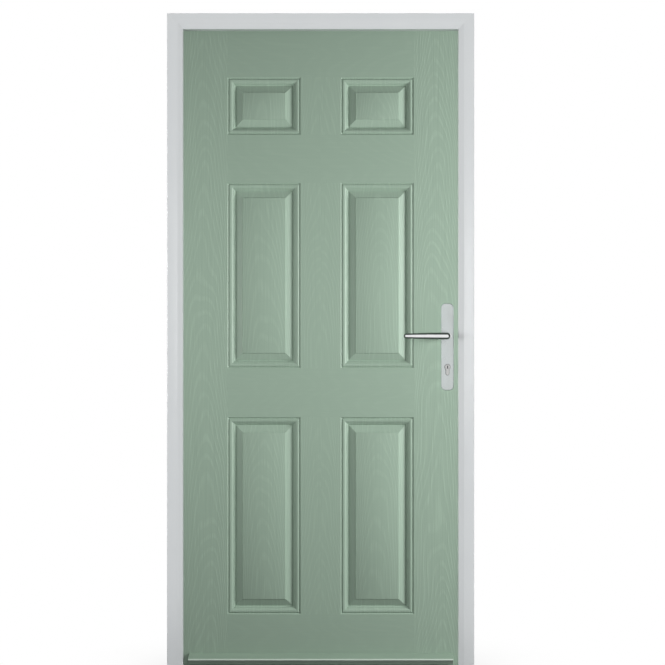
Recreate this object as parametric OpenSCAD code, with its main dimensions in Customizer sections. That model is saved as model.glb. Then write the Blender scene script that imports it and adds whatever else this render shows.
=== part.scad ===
// Six-panel entrance door set: moulded leaf, mitred frame, threshold, hinges and multipoint lock.
// Millimetres, +Z up. The outside looks towards -Y; the leaf hangs on the -X side and opens towards +Y.

/* [Leaf] */
// Width of the leaf
leaf_w = 864; // [800:1:914]
// Height of the leaf
leaf_h = 1981; // [1940:1:2050]
// Thickness of the leaf over both skins
leaf_t = 44; // [40:1:54]
// Thickness of each moulded skin
skin_t = 2.2; // [1.6:0.1:3]
// Width of the timber behind the hinges
hinge_stile_w = 45; // [38:1:60]
// Timber left behind the lock cases
lock_back_w = 6; // [4:1:20]
// Height of the timber across the top
top_rail_h = 45; // [35:1:80]
// Height of the timber across the bottom
bottom_rail_h = 64; // [50:1:100]

/* [Panels] */
// Width of each moulded panel
panel_w = 227; // [190:1:240]
// Flat face between the two columns of panels
mullion_w = 124; // [90:1:135]
// Flat face below the lower panels
bottom_face = 166; // [120:1:190]
// Height of the lower panels
lower_panel_h = 611; // [500:1:640]
// Flat face between the lower and the middle panels
lock_face = 152; // [110:1:180]
// Flat face between the middle and the top panels
upper_face = 149; // [110:1:170]
// Height of the top panels
top_panel_h = 178; // [130:1:200]
// Flat face above the top panels
top_face = 150; // [110:1:190]
// Width of the moulding round each panel
moulding_w = 48.5; // [42:0.5:56]
// Depth of the moulding's valley
moulding_d = 11; // [8:0.5:12]
// Distance from the moulding's outer edge to its valley
valley_in = 25; // [22:0.5:30]
// Width of the narrow groove at the moulding's outer edge
quirk_w = 7.5; // [4:0.5:8]
// Depth of that groove
quirk_d = 3.2; // [1.5:0.1:3.5]
// Height of the small step round the raised field
field_step = 2.4; // [1:0.1:4]

/* [Frame] */
// Depth of the frame from front to back
frame_depth = 70; // [60:1:84]
// Width of the frame from its wall side to the rebate
frame_web = 36; // [32:1:50]
// How far the stop covers the leaf's edge
stop_cover = 8; // [6:0.5:12]
// Gap between the leaf's edge and the rebate
leaf_gap = 4; // [3.5:0.5:6]
// How far the leaf's face lies behind the frame's front
recess = 30; // [26:1:36]
// Wall of the hollow frame profile
frame_wall = 2.8; // [2.2:0.1:3.4]
// Width of the bevel on the frame's front
bevel_w = 16; // [6:1:20]
// Depth of that bevel
bevel_d = 6; // [2:0.5:8]
// Thickness of the steel inside the frame
steel_t = 1.5; // [1:0.1:2.5]
// Room between the stop and the leaf for the seal
seal_gap = 3; // [2.5:0.1:4]
// Distance of the outermost wall fixings from the frame's ends
fix_end = 211; // [180:1:240]
// Diameter of the wall fixings' holes
fix_hole_d = 8.4; // [6:0.1:10]

/* [Threshold] */
// Height of the threshold under the leaf
threshold_floor = 12; // [10:0.5:16]
// Gap between the threshold and the leaf's lower edge
sweep_gap = 9; // [6:0.5:12]
// How far the threshold's upstand covers the leaf
threshold_cover = 9; // [8:0.5:14]
// Length of the ramp on the room side
ramp_l = 16; // [8:1:30]
// Wall of the threshold profile
threshold_wall = 2.5; // [2:0.1:3]

/* [Weather bar] */
// Length of the weather bar
bar_l = 816; // [760:1:820]
// How far the weather bar stands out from the leaf
bar_out = 28; // [20:1:29]
// Height of the weather bar's top above the leaf's lower edge
bar_top = 45; // [38:1:60]
// Fall of its sloping top
bar_fall = 9; // [5:0.5:14]
// Height of the weather bar
bar_h = 30; // [24:1:34]
// Wall of the weather bar profile
bar_wall = 2; // [1.5:0.1:3]

/* [Hinges] */
// Height of each hinge
hinge_h = 100; // [80:1:120]
// Distance of the end hinges' centres from the leaf's ends
hinge_inset = 200; // [150:1:260]
// Thickness of the hinge plates
hinge_t = 2.5; // [2:0.1:2.8]
// Outer radius of the hinge knuckle
knuckle_r = 6.5; // [6:0.1:7]
// Radius of the hinge pin
pin_r = 4; // [3:0.1:4.5]
// Distance of the hinge axis from the leaf's room face
hinge_out = 8; // [7.5:0.1:10]

/* [Lock] */
// Distance of the spindle and the cylinder from the leaf's lock edge
backset = 40; // [35:1:45]
// Height of the spindle above the leaf's lower edge
lever_up = 1029; // [1000:1:1050]
// Distance from the spindle down to the cylinder
cylinder_down = 96; // [92:1:98]
// Distance of the hooks' pivots from the leaf's ends
hook_inset = 405; // [300:1:450]
// Width of the lock's faceplate
faceplate_w = 20; // [18:1:24]
// Thickness of the faceplate
faceplate_t = 3; // [2:0.1:3.5]
// Distance of the faceplate's ends from the leaf's ends
faceplate_in = 95; // [60:1:140]
// Travel of the latch
latch_throw = 12; // [8:0.5:14]
// Travel of the dead bolt
bolt_throw = 20; // [12:0.5:22]
// Thickness of the hooks
hook_t = 6; // [5:0.5:7]
// Thickness of the keeps
keep_t = 1.5; // [1:0.1:2]

/* [Handles] */
// Width of the handles' plates
plate_w = 39.5; // [34:0.5:44]
// Height of the plates above the spindle
plate_up = 101; // [96:1:110]
// Height of the plates below the spindle
plate_down = 168.5; // [160:0.5:175]
// Thickness of the plates in the middle
plate_t = 10; // [8:0.5:13]
// How much thinner the plates are along their edges
plate_dome = 3; // [1:0.5:4]
// Corner radius of the plates
plate_r = 14; // [8:0.5:17]
// Length of the lever from its axis to its tip
lever_l = 138; // [110:1:150]
// Distance of the lever's centre line from the leaf
lever_out = 44; // [40:1:55]
// Distance from the spindle's axis to the centre of the lever's round root
root_in = 5; // [0:0.5:8]
// Radius of the lever at its root
lever_root_r = 10.5; // [10:0.1:12]
// Radius of the lever at its tip
lever_tip_r = 7.5; // [6:0.1:9]
// Radius of the lever's neck
neck_r = 9; // [8:0.1:9.5]
// Side of the square spindle
spindle_a = 8; // [7:0.1:8.5]

/* [Hidden] */
$fn = 48;
far = 600;
running = 0.05;
snug = 0.1;
loose = 0.5;

// Planes of the leaf and the frame, measured through the wall
y_out = -leaf_t / 2;
y_in = leaf_t / 2;
y_front = y_out - recess;
y_back = y_front + frame_depth;
y_stop = y_out - seal_gap;
face = frame_web + leaf_gap + stop_cover;
frame_w = leaf_w + 2 * (leaf_gap + frame_web);
z_leaf = threshold_floor + sweep_gap;
z_top = z_leaf + leaf_h;
frame_h = z_top + leaf_gap + frame_web;
z_mid = z_leaf + leaf_h / 2;
upstand = z_leaf + threshold_cover;
x_edge = leaf_w / 2;
x_rebate = x_edge + leaf_gap;
core_t = leaf_t - 2 * skin_t;

// Chambers and rounded edges of the frame profile
front_r = 2;
edge_r = 1;
web_t = 2;
steel_fit = 0.5;
steel_y0 = y_stop + web_t / 2 - 0.2;
steel_y1 = y_back - frame_wall;
steel_u1 = frame_web - frame_wall;
steel_end = 45;
fix_y = y_stop + 9;
fix_access_r = 5.5;
fix_zs = [for (i = [0:3]) fix_end + i * (frame_h - 2 * fix_end) / 3];

// Seals
seal_groove_w = 3.4;
seal_groove_d = 6;
seal_fit = 0.2;
seal_touch = 0.35;
seal_r = seal_gap - seal_touch;
seal_u = frame_web + leaf_gap + stop_cover / 2;
seal_z = z_leaf + threshold_cover / 2;

// Hinges
hinge_x = -x_edge - leaf_gap / 2;
hinge_y = y_in + hinge_out;
hinge_zs = [z_top - hinge_inset, z_mid, z_leaf + hinge_inset];
hinge_plate_y = y_in - 30;
hinge_third = hinge_h / 3;
knuckle_gap = 0.4;
pin_cap_h = 3;
screw_r = 2;
screw_head_r = 4;
screw_head_h = 2.2;
frame_screw_l = 28;
leaf_screw_l = 35;
hinge_screws = [[6, -0.38], [17, -0.2], [6, 0.2], [17, 0.38]];

// Lock, from the spindle's axis
lever_x = x_edge - backset;
lever_z = z_leaf + lever_up;
cyl_z = lever_z - cylinder_down;
bolt_z = lever_z - 50;
latch_z = lever_z + 35;
hook_zs = [z_top - hook_inset, z_leaf + hook_inset];
case_t = 16;
case_wall = 1.6;
case_room = case_t / 2 - case_wall;
rail_t = 3;
rail_w = case_t;
rail_room = 1.5;
rail_gap = 1;
x_plate = x_edge - faceplate_t;
rail_x1 = x_plate - rail_room;
rail_x0 = rail_x1 - rail_t;
case_x1 = rail_x0 - rail_gap;
gear_back = 22;
gear_low = 125;
gear_high = 75;
gear_x0 = lever_x - gear_back;
gear_z0 = lever_z - gear_low;
gear_z1 = lever_z + gear_high;
lock_stile_w = x_edge - gear_x0 + lock_back_w;
faceplate_z0 = z_leaf + faceplate_in;
faceplate_z1 = z_top - faceplate_in;
rail_travel = 15.5;
cyl_screw_low = 20;
cyl_screw_z = cyl_z - cyl_screw_low;
cyl_screw_r = 2.4;

// Screws of the faceplate: at its ends, below and above each hook, and either side of the gearbox
screw_end = 20;
screw_low = 70;
screw_high = 60;
screw_beside = 30;
faceplate_screw_zs = concat([faceplate_z0 + screw_end, faceplate_z1 - screw_end,
    gear_z0 - screw_beside, gear_z1 + screw_beside],
    [for (z = hook_zs, d = [-screw_low, screw_high]) z + d]);

// Latch and dead bolt: each body is its throw plus what stays guided in the case
latch_h = 16;
latch_t = 11;
latch_l = latch_throw + 18;
latch_nose = latch_throw - 1;
latch_lip = 3;
latch_tail = 16;
dead_h = 20;
dead_t = 10;
dead_l = bolt_throw + 15;
dead_tail = 17;
tail_lap = 1;
slide_fit = 0.4;

// Hooks: the pivot, and the arm that hangs below it while the lock is open
hook_x = x_edge - 20;
hook_arm = 35;
hook_half = 6;
hook_nose = 10;
hook_nose_h = 10;
hook_eye_r = 7;
hook_pin_r = 3;
hook_case_x0 = hook_x - 14;
hook_case_top = 12;
hook_case_low = 45;
hook_slot_top = 8.5;
hook_slot_low = 40;
rail_low = 62;
rail_high = 44;
rail_end_room = 2;

// Cylinder
euro_r = 8.5;
euro_tail_w = 10;
euro_tail = 24.5;
euro_out = 3;
plug_r = 6.5;
cam_r = 15;
cam_half = 4.5;
cam_room = 0.5;
cyl_half = leaf_t / 2 + plate_t + euro_out;

// Handles
handle_bolt_zs = [lever_z + plate_up - 18, lever_z - plate_down + 18];
handle_bolt_r = 2.5;
lever_y = leaf_t / 2 + lever_out;
neck_in = leaf_t / 2 + 2.2;
collar_r = neck_r + 2.5;
collar_h = 5;
plate_pocket = 6;
plate_rim = 3.5;
neck_end = 4;
spindle_cover = 3;
spindle_half = lever_y - neck_end - spindle_cover;
taper_steps = 6;

// Hubs in the lock case, turning about the spindle
hub_r = 11;
hub_gap = 0.4;
arm_l = 24;
arm_half = 3;
lug_room = 1.2;

// Panel rows as lower edge and height, and column centres; the middle row takes up the leaf's height
lower_row = z_leaf + bottom_face;
middle_row = lower_row + lower_panel_h + lock_face;
top_row = z_top - top_face - top_panel_h;
middle_panel_h = top_row - upper_face - middle_row;
rows = [[lower_row, lower_panel_h], [middle_row, middle_panel_h], [top_row, top_panel_h]];
columns = [-(mullion_w + panel_w) / 2, (mullion_w + panel_w) / 2];

// Placing helpers: a box between corners, and flat outlines drawn out along X or Y
module box(x, y, z) {
    translate([x[0], y[0], z[0]]) cube([x[1] - x[0], y[1] - y[0], z[1] - z[0]]);
}

module along_x(x0, x1) {
    translate([x0, 0, 0]) rotate([90, 0, 90]) linear_extrude(x1 - x0) children();
}

module along_y(y0, y1) {
    translate([0, y1, 0]) rotate([90, 0, 0]) linear_extrude(y1 - y0) children();
}

module rod_y(x, z, r, y0, y1) {
    translate([x, y0, z]) rotate([-90, 0, 0]) cylinder(r = r, h = y1 - y0);
}

module rod_x(y, z, r, x0, x1) {
    translate([x0, y, z]) rotate([0, 90, 0]) cylinder(r = r, h = x1 - x0);
}

// Countersunk screw that points along +Z from its flat head
module screw(l, extra = 0) {
    cylinder(h = screw_head_h, r1 = screw_head_r + extra, r2 = screw_r + extra);
    cylinder(h = l, r = screw_r + extra);
}

// Moulding section, from the panel's outer edge to its raised field, as inset and depth: a groove, an ovolo,
// a narrow flat, a cove down to the valley, a bevel and the step up to the field
round_steps = 4;
round_turn = 65;
quirk_lip = 0.4;
flat_w = 2;
flat_fall = 0.4;
cove_w = 5;
step_w = 2;
rise_w = 1;
rise_h = 1;
ovolo_end = [valley_in - cove_w - flat_w, quirk_lip + 0.45 * (moulding_d - quirk_lip)];
cove_start = ovolo_end + [flat_w, flat_fall];
function ovolo(t) =
    [sin(round_turn * t) / sin(round_turn), (1 - cos(round_turn * t)) / (1 - cos(round_turn))];
function between(a, b, share) = [a[0] + (b[0] - a[0]) * share[0], a[1] + (b[1] - a[1]) * share[1]];
moulding = concat(
    [[0, 0], [quirk_w / 2, quirk_d], [quirk_w, quirk_lip]],
    [for (i = [1:round_steps]) between([quirk_w, quirk_lip], ovolo_end, ovolo(i / round_steps))],
    [for (i = [round_steps:-1:0]) between([valley_in, moulding_d], cove_start, ovolo(i / round_steps))],
    [[valley_in + rise_w, moulding_d - rise_h], [moulding_w - step_w, field_step], [moulding_w, 0]]);
last = len(moulding) - 1;
skin_ring = concat(moulding, [for (i = [last:-1:0]) [moulding[i][0], moulding[i][1] + skin_t]]);
bed_lap = 0.5;
bed_ring = concat([[0, skin_t - bed_lap], [moulding_w, skin_t - bed_lap]],
    [for (i = [last:-1:0]) [moulding[i][0], moulding[i][1] + skin_t]]);

// A section carried round a rectangle with mitred corners; depth runs along +Y from y = 0
module mitred_ring(section, w, h) {
    n = len(section);
    points = [for (p = section, c = [[-1, -1], [1, -1], [1, 1], [-1, 1]])
        [c[0] * (w / 2 - p[0]), p[1], c[1] * (h / 2 - p[0])]];
    faces = [for (k = [0:n - 1], j = [0:3])
        [k * 4 + j, (k + 1) % n * 4 + j, (k + 1) % n * 4 + (j + 1) % 4, k * 4 + (j + 1) % 4]];
    polyhedron(points, faces);
}

// Hollow section of the head and jambs: across from the wall side, and through the wall
function bevel_y(u) = y_front + bevel_d * max(0, u - (face - bevel_w)) / bevel_w;

// What a rounding takes from a square corner whose edges run along the signs in way
module round_off(corner, way, r) {
    middle = corner + r * way;
    difference() {
        translate([min(corner[0], middle[0]), min(corner[1], middle[1])]) square(r);
        translate(middle) circle(r = r);
    }
}

// What a rounding takes where the bevel meets the stop's side
module bevel_round() {
    lean = atan(bevel_d / bevel_w);
    u = face - front_r;
    middle = [u, bevel_y(u) + front_r / cos(lean)];
    difference() {
        polygon([middle, middle + front_r * [sin(lean), -cos(lean)], [face, bevel_y(face)],
            [face, middle[1]]]);
        translate(middle) circle(r = front_r);
    }
}

module frame_section() {
    split = frame_web / 2;
    front = y_front + frame_wall;
    mid = y_stop - web_t / 2 - 0.2;
    stop_back = y_stop - seal_groove_d - frame_wall;
    stop_u0 = frame_web + 1;
    stop_u1 = face - frame_wall;
    slope_wall = frame_wall * 1.15;
    difference() {
        polygon([[0, y_front], [face - bevel_w, y_front], [face, y_front + bevel_d], [face, y_stop],
            [frame_web, y_stop], [frame_web, y_back], [0, y_back]]);
        round_off([0, y_front], [1, 1], front_r);
        round_off([face, y_stop], [-1, -1], edge_r);
        round_off([frame_web, y_back], [-1, -1], edge_r);
        round_off([0, y_back], [1, -1], edge_r);
        bevel_round();
        translate([frame_wall, front]) square([split - web_t / 2 - frame_wall, mid - front]);
        translate([split + web_t / 2, front]) square([frame_web - split - web_t * 1.4, mid - front]);
        translate([frame_wall, steel_y0]) square([steel_u1 - frame_wall, steel_y1 - steel_y0]);
        polygon([[stop_u0, bevel_y(stop_u0) + slope_wall], [stop_u1, bevel_y(stop_u1) + slope_wall],
            [stop_u1, stop_back], [stop_u0, stop_back]]);
        translate([seal_u - seal_groove_w / 2, y_stop - seal_groove_d])
            square([seal_groove_w, seal_groove_d + 1]);
    }
}

module steel_section() {
    u0 = frame_wall + steel_fit;
    w = steel_u1 - frame_wall - 2 * steel_fit;
    h = steel_y1 - steel_y0 - 2 * steel_fit;
    difference() {
        translate([u0, steel_y0 + steel_fit]) square([w, h]);
        translate([u0 - 1, steel_y0 + steel_fit + steel_t]) square([w - steel_t + 1, h - 2 * steel_t]);
    }
}

// Stem in the stop's groove, and a round bulb that the leaf closes on
module seal_section() {
    stem = seal_groove_w - 2 * seal_fit;
    translate([seal_u - stem / 2, y_stop - seal_groove_d + seal_fit]) square([stem, seal_groove_d]);
    intersection() {
        translate([seal_u, y_stop]) circle(r = seal_r);
        translate([seal_u - seal_r, y_stop]) square([2 * seal_r, seal_r]);
    }
}

module mitre_side(keep_low, gap) {
    translate([-frame_w / 2, 0, frame_h]) rotate([0, 45, 0])
        translate([-far / 2, -far / 2, keep_low ? -gap : gap - far]) cube(far);
}

module jamb_run(z0, gap = 0) {
    difference() {
        translate([-frame_w / 2, 0, z0]) linear_extrude(frame_h - z0) children();
        mitre_side(true, gap);
    }
}

module head_run(gap = 0) {
    difference() {
        translate([-frame_w / 2, 0, frame_h]) rotate([0, 90, 0]) linear_extrude(frame_w) children();
        for (s = [0, 1]) mirror([s, 0, 0]) mitre_side(false, gap);
    }
}

module plain_jamb() {
    difference() {
        jamb_run(0) frame_section();
        box([-frame_w / 2 + frame_web, 0], [y_front - 1, y_stop + 1], [-1, upstand]);
        for (z = fix_zs) {
            rod_x(fix_y, z, fix_hole_d / 2, -frame_w / 2 - 1, -frame_w / 2 + frame_wall + 1);
            rod_x(fix_y, z, fix_access_r, -frame_w / 2 + steel_u1 - 1, -x_rebate + 1);
        }
    }
}

module plain_steel() {
    difference() {
        translate([-frame_w / 2, 0, steel_end])
            linear_extrude(frame_h - face - 2 * steel_end) steel_section();
        for (z = fix_zs) rod_x(fix_y, z, fix_access_r, -frame_w / 2 + steel_u1 - 5, -x_rebate + 1);
    }
}

// Frame members
module hinge_jamb() {
    color([0.9, 0.91, 0.92]) difference() {
        plain_jamb();
        at_frame_screws() screw(frame_screw_l + 1, snug);
    }
}

module lock_jamb() {
    color([0.9, 0.91, 0.92]) difference() {
        mirror([1, 0, 0]) plain_jamb();
        keep_pockets();
        at_keep_screws() screw(frame_screw_l + 1, snug);
    }
}

module frame_head() {
    color([0.9, 0.91, 0.92]) head_run() frame_section();
}

module hinge_jamb_steel() {
    color([0.6, 0.62, 0.64]) difference() {
        plain_steel();
        at_frame_screws() screw(frame_screw_l + 1, snug);
    }
}

module lock_jamb_steel() {
    color([0.6, 0.62, 0.64]) difference() {
        mirror([1, 0, 0]) plain_steel();
        keep_pockets();
        at_keep_screws() screw(frame_screw_l + 1, snug);
    }
}

module head_steel() {
    color([0.6, 0.62, 0.64]) translate([-frame_w / 2 + face + steel_end, 0, frame_h]) rotate([0, 90, 0])
        linear_extrude(frame_w - 2 * (face + steel_end)) steel_section();
}

// Three lengths of seal, mitred with a little room at the corners
module frame_gasket() {
    color([0.1, 0.1, 0.1]) {
        for (s = [0, 1]) mirror([s, 0, 0]) jamb_run(upstand, snug) seal_section();
        head_run(snug) seal_section();
    }
}

// Low threshold with a sloping upstand outside the leaf and a ramp inside
module threshold() {
    w = threshold_wall;
    nose = 9;
    ridge = 6;
    slope_y = y_stop - ridge;
    floor_y = y_stop + w;
    floor_mid = (floor_y + y_back) / 2;
    chamber_top = seal_z - seal_groove_w / 2 - w;
    color([0.72, 0.73, 0.74]) difference() {
        along_x(-x_rebate, x_rebate) difference() {
            polygon([[y_front, 0], [y_front, nose], [slope_y, upstand], [y_stop, upstand],
                [y_stop, threshold_floor], [y_back, threshold_floor], [y_back + ramp_l, w],
                [y_back + ramp_l, 0]]);
            polygon([[y_front + w, w], [y_front + w, nose - w / 2],
                [slope_y - w / 2, chamber_top], [y_stop - w, chamber_top], [y_stop - w, w]]);
            translate([floor_y, w]) square([floor_mid - w / 2 - floor_y, threshold_floor - 2 * w]);
            translate([floor_mid + w / 2, w]) square([y_back - floor_mid - w / 2, threshold_floor - 2 * w]);
            translate([y_stop - seal_groove_d, seal_z - seal_groove_w / 2])
                square([seal_groove_d + 1, seal_groove_w]);
        }
    }
}

module threshold_gasket() {
    stem = seal_groove_w - 2 * seal_fit;
    reach = x_edge - stop_cover - 1;
    color([0.1, 0.1, 0.1]) along_x(-reach, reach) {
        translate([y_stop - seal_groove_d + seal_fit, seal_z - stem / 2]) square([seal_groove_d, stem]);
        intersection() {
            translate([y_stop, seal_z]) circle(r = seal_r);
            translate([y_stop, seal_z - seal_r]) square([seal_r, 2 * seal_r]);
        }
    }
}

// Keeps on the lock jamb
keep_half_w = 14;
keep_pocket_y = 8;
keep_pocket_room = 3;
keep_room = 1.5;
keep_end = 10;
keep_screw_low = 24;
keep_screw_high = 22;
keep_screw_zs = [bolt_z - keep_screw_low, (bolt_z + latch_z) / 2, latch_z + keep_screw_high];
hook_screw_low = 52;
hook_screw_high = 26;

module keep_pockets() {
    x = [x_rebate - 0.5, x_rebate + frame_wall + steel_fit + steel_t + 0.5];
    y = [-keep_pocket_y, keep_pocket_y];
    for (bolt = [[latch_z, latch_h], [bolt_z, dead_h]])
        box(x, y, [bolt[0] - bolt[1] / 2 - keep_pocket_room, bolt[0] + bolt[1] / 2 + keep_pocket_room]);
    for (z = hook_zs) box(x, [-hook_t / 2 - keep_pocket_room, hook_t / 2 + keep_pocket_room],
        [z - hook_slot_low - keep_pocket_room, z + hook_half + hook_nose + keep_pocket_room]);
}

module at_keep_screws() {
    zs = concat(keep_screw_zs, [for (h = hook_zs, d = [-hook_screw_low, hook_screw_high]) h + d]);
    for (z = zs) translate([x_rebate - keep_t, 0, z]) rotate([0, 90, 0]) children();
}

module keep_plate(z0, z1) {
    difference() {
        box([x_rebate - keep_t, x_rebate], [-keep_half_w, keep_half_w], [z0, z1]);
        at_keep_screws() screw(frame_screw_l, snug);
        children();
    }
}

module centre_keep() {
    x = [x_rebate - keep_t - 1, x_rebate + 1];
    y = [-latch_t / 2 - keep_room, latch_t / 2 + keep_room];
    color([0.75, 0.76, 0.78])
        keep_plate(bolt_z - keep_screw_low - keep_end, latch_z + keep_screw_high + keep_end) {
            for (bolt = [[latch_z, latch_h], [bolt_z, dead_h]])
                box(x, y, [bolt[0] - bolt[1] / 2 - keep_room, bolt[0] + bolt[1] / 2 + keep_room]);
        }
}

module hook_keep(z) {
    color([0.75, 0.76, 0.78]) keep_plate(z - hook_screw_low - keep_end, z + hook_screw_high + keep_end)
        box([x_rebate - keep_t - 1, x_rebate + 1], [-hook_t / 2 - keep_room, hook_t / 2 + keep_room],
            [z - hook_slot_low, z + hook_slot_top]);
}

module upper_hook_keep() hook_keep(hook_zs[0]);
module lower_hook_keep() hook_keep(hook_zs[1]);

module keep_screws() {
    color([0.8, 0.81, 0.82]) at_keep_screws() screw(frame_screw_l);
}

// Hinges: two knuckles on the frame's plate, one between them on the leaf's plate
module at_frame_screws() {
    for (z = hinge_zs, s = hinge_screws)
        translate([-x_rebate + hinge_t, hinge_plate_y + s[0], z + s[1] * hinge_h])
            rotate([0, -90, 0]) children();
}

module at_door_screws() {
    for (z = hinge_zs, s = hinge_screws)
        translate([-x_edge, hinge_plate_y + s[0], z + s[1] * hinge_h]) rotate([0, 90, 0]) children();
}

module knuckle(part, r, grow = 0) {
    spans = part == "leaf" ? [[-hinge_third / 2, hinge_third / 2]]
        : [[-hinge_h / 2, -hinge_third / 2], [hinge_third / 2, hinge_h / 2]];
    for (s = spans) translate([hinge_x, hinge_y, s[0] - grow])
        cylinder(r = r, h = s[1] - s[0] + 2 * grow);
}

module hinge_frame_leaf(z) {
    color([0.78, 0.79, 0.8]) difference() {
        translate([0, 0, z]) difference() {
            union() {
                box([-x_rebate, -x_rebate + hinge_t], [hinge_plate_y, hinge_y], [-hinge_h / 2, hinge_h / 2]);
                knuckle("frame", knuckle_r);
            }
            knuckle("leaf", knuckle_r + knuckle_gap, knuckle_gap);
            knuckle("frame", pin_r, 1);
        }
        at_frame_screws() screw(frame_screw_l, snug);
    }
}

module hinge_door_leaf(z) {
    color([0.78, 0.79, 0.8]) difference() {
        translate([0, 0, z]) difference() {
            union() {
                box([-x_edge, -x_edge + hinge_t], [hinge_plate_y, hinge_y], [-hinge_h / 2, hinge_h / 2]);
                knuckle("leaf", knuckle_r);
            }
            knuckle("frame", knuckle_r + knuckle_gap, 0);
            knuckle("leaf", pin_r + running, 1);
        }
        at_door_screws() screw(leaf_screw_l, snug);
    }
}

module hinge_pin(z) {
    color([0.7, 0.71, 0.72]) translate([hinge_x, hinge_y, z]) {
        translate([0, 0, -hinge_h / 2]) cylinder(r = pin_r, h = hinge_h);
        for (s = [0, 1]) mirror([0, 0, s]) translate([0, 0, hinge_h / 2])
            cylinder(r1 = knuckle_r, r2 = knuckle_r - 1.5, h = pin_cap_h);
    }
}

module upper_hinge_frame_leaf() hinge_frame_leaf(hinge_zs[0]);
module middle_hinge_frame_leaf() hinge_frame_leaf(hinge_zs[1]);
module lower_hinge_frame_leaf() hinge_frame_leaf(hinge_zs[2]);
module upper_hinge_door_leaf() hinge_door_leaf(hinge_zs[0]);
module middle_hinge_door_leaf() hinge_door_leaf(hinge_zs[1]);
module lower_hinge_door_leaf() hinge_door_leaf(hinge_zs[2]);
module upper_hinge_pin() hinge_pin(hinge_zs[0]);
module middle_hinge_pin() hinge_pin(hinge_zs[1]);
module lower_hinge_pin() hinge_pin(hinge_zs[2]);

module frame_hinge_screws() {
    color([0.8, 0.81, 0.82]) at_frame_screws() screw(frame_screw_l);
}

module door_hinge_screws() {
    color([0.8, 0.81, 0.82]) at_door_screws() screw(leaf_screw_l);
}

module hinge_recesses() {
    for (z = hinge_zs) box([-x_edge - 1, -x_edge + hinge_t], [hinge_plate_y, y_in + 1],
        [z - hinge_h / 2, z + hinge_h / 2]);
}

// Leaf: two moulded skins on timber edges and a foam core
module euro(extra = 0) {
    circle(r = euro_r + extra);
    translate([0, -euro_tail + euro_tail_w / 2]) circle(r = euro_tail_w / 2 + extra);
    translate([-euro_tail_w / 2 - extra, -euro_tail + euro_tail_w / 2])
        square([euro_tail_w + 2 * extra, euro_tail - euro_tail_w / 2]);
}

module handle_holes(y0, y1) {
    rod_y(lever_x, lever_z, neck_r + loose, y0, y1);
    for (z = handle_bolt_zs) rod_y(lever_x, z, handle_bolt_r + loose, y0, y1);
    along_y(y0, y1) translate([lever_x, cyl_z]) euro(loose);
}

// Drawn with its face at y = 0 and its back towards +Y
module skin() {
    box([-x_edge, x_edge], [0, skin_t], [z_leaf, z_top]);
}

module panel_windows() {
    for (row = rows, x = columns) translate([x, 0, row[0] + row[1] / 2]) difference() {
        cube([panel_w, 4 * skin_t, row[1]], center = true);
        cube([panel_w - 2 * moulding_w, 5 * skin_t, row[1] - 2 * moulding_w], center = true);
    }
}

module moulded_skin() {
    difference() {
        skin();
        panel_windows();
        handle_holes(-1, skin_t + 1);
    }
    for (row = rows, x = columns)
        translate([x, 0, row[0] + row[1] / 2]) mitred_ring(skin_ring, panel_w, row[1]);
}

module outer_skin() {
    color([0.55, 0.63, 0.56]) translate([0, y_out, 0]) moulded_skin();
}

module inner_skin() {
    color([0.55, 0.63, 0.56]) difference() {
        translate([0, y_in, 0]) mirror([0, 1, 0]) moulded_skin();
        hinge_recesses();
    }
}

module foam_core() {
    color([0.93, 0.87, 0.66]) difference() {
        box([-x_edge + hinge_stile_w, x_edge - lock_stile_w], [-core_t / 2, core_t / 2],
            [z_leaf + bottom_rail_h, z_top - top_rail_h]);
        for (s = [0, 1]) mirror([0, s, 0]) for (row = rows, x = columns)
            translate([x, y_out, row[0] + row[1] / 2]) mitred_ring(bed_ring, panel_w, row[1]);
    }
}

module hinge_stile() {
    color([0.78, 0.62, 0.42]) difference() {
        box([-x_edge, -x_edge + hinge_stile_w], [-core_t / 2, core_t / 2], [z_leaf, z_top]);
        hinge_recesses();
        at_door_screws() screw(leaf_screw_l + 1, snug);
    }
}

module rail_between(z0, z1) {
    box([-x_edge + hinge_stile_w, x_edge - lock_stile_w], [-core_t / 2, core_t / 2], [z0, z1]);
}

module top_rail() {
    color([0.78, 0.62, 0.42]) rail_between(z_top - top_rail_h, z_top);
}

sweep_half = 5;
sweep_in = 8;
sweep_blade = 2;
sweep_touch = 0.4;

module sweep_groove() {
    box([-x_edge - 1, x_edge + 1], [-sweep_half, sweep_half], [z_leaf - 1, z_leaf + sweep_in]);
}

module bottom_rail() {
    color([0.78, 0.62, 0.42]) difference() {
        rail_between(z_leaf, z_leaf + bottom_rail_h);
        sweep_groove();
    }
}

// Two blades under the leaf on one carrier
module bottom_sweep() {
    color([0.12, 0.12, 0.12])
        along_x(-x_edge + hinge_stile_w, x_edge - lock_stile_w) {
            translate([-sweep_half, z_leaf]) square([2 * sweep_half, sweep_in]);
            for (y = [-sweep_half, sweep_half - sweep_blade])
                translate([y, threshold_floor + sweep_touch]) square([sweep_blade, sweep_gap]);
        }
}

module lock_stile() {
    color([0.78, 0.62, 0.42]) difference() {
        box([x_edge - lock_stile_w, x_edge], [-core_t / 2, core_t / 2], [z_leaf, z_top]);
        faceplate_outline(x_plate, x_edge + 1);
        box([case_x1, x_plate + 1], [-rail_w / 2 - loose, rail_w / 2 + loose],
            [hook_zs[1] - rail_low - rail_travel - rail_end_room, hook_zs[0] + rail_high + rail_end_room]);
        box([gear_x0, x_plate + 1], [-case_t / 2, case_t / 2], [gear_z0, gear_z1]);
        for (z = hook_zs)
            box([hook_case_x0, x_plate + 1], [-case_t / 2, case_t / 2],
                [z - hook_case_low, z + hook_case_top]);
        handle_holes(-leaf_t, leaf_t);
        at_faceplate_screws() screw(leaf_screw_l + 1, snug);
    }
}

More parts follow.
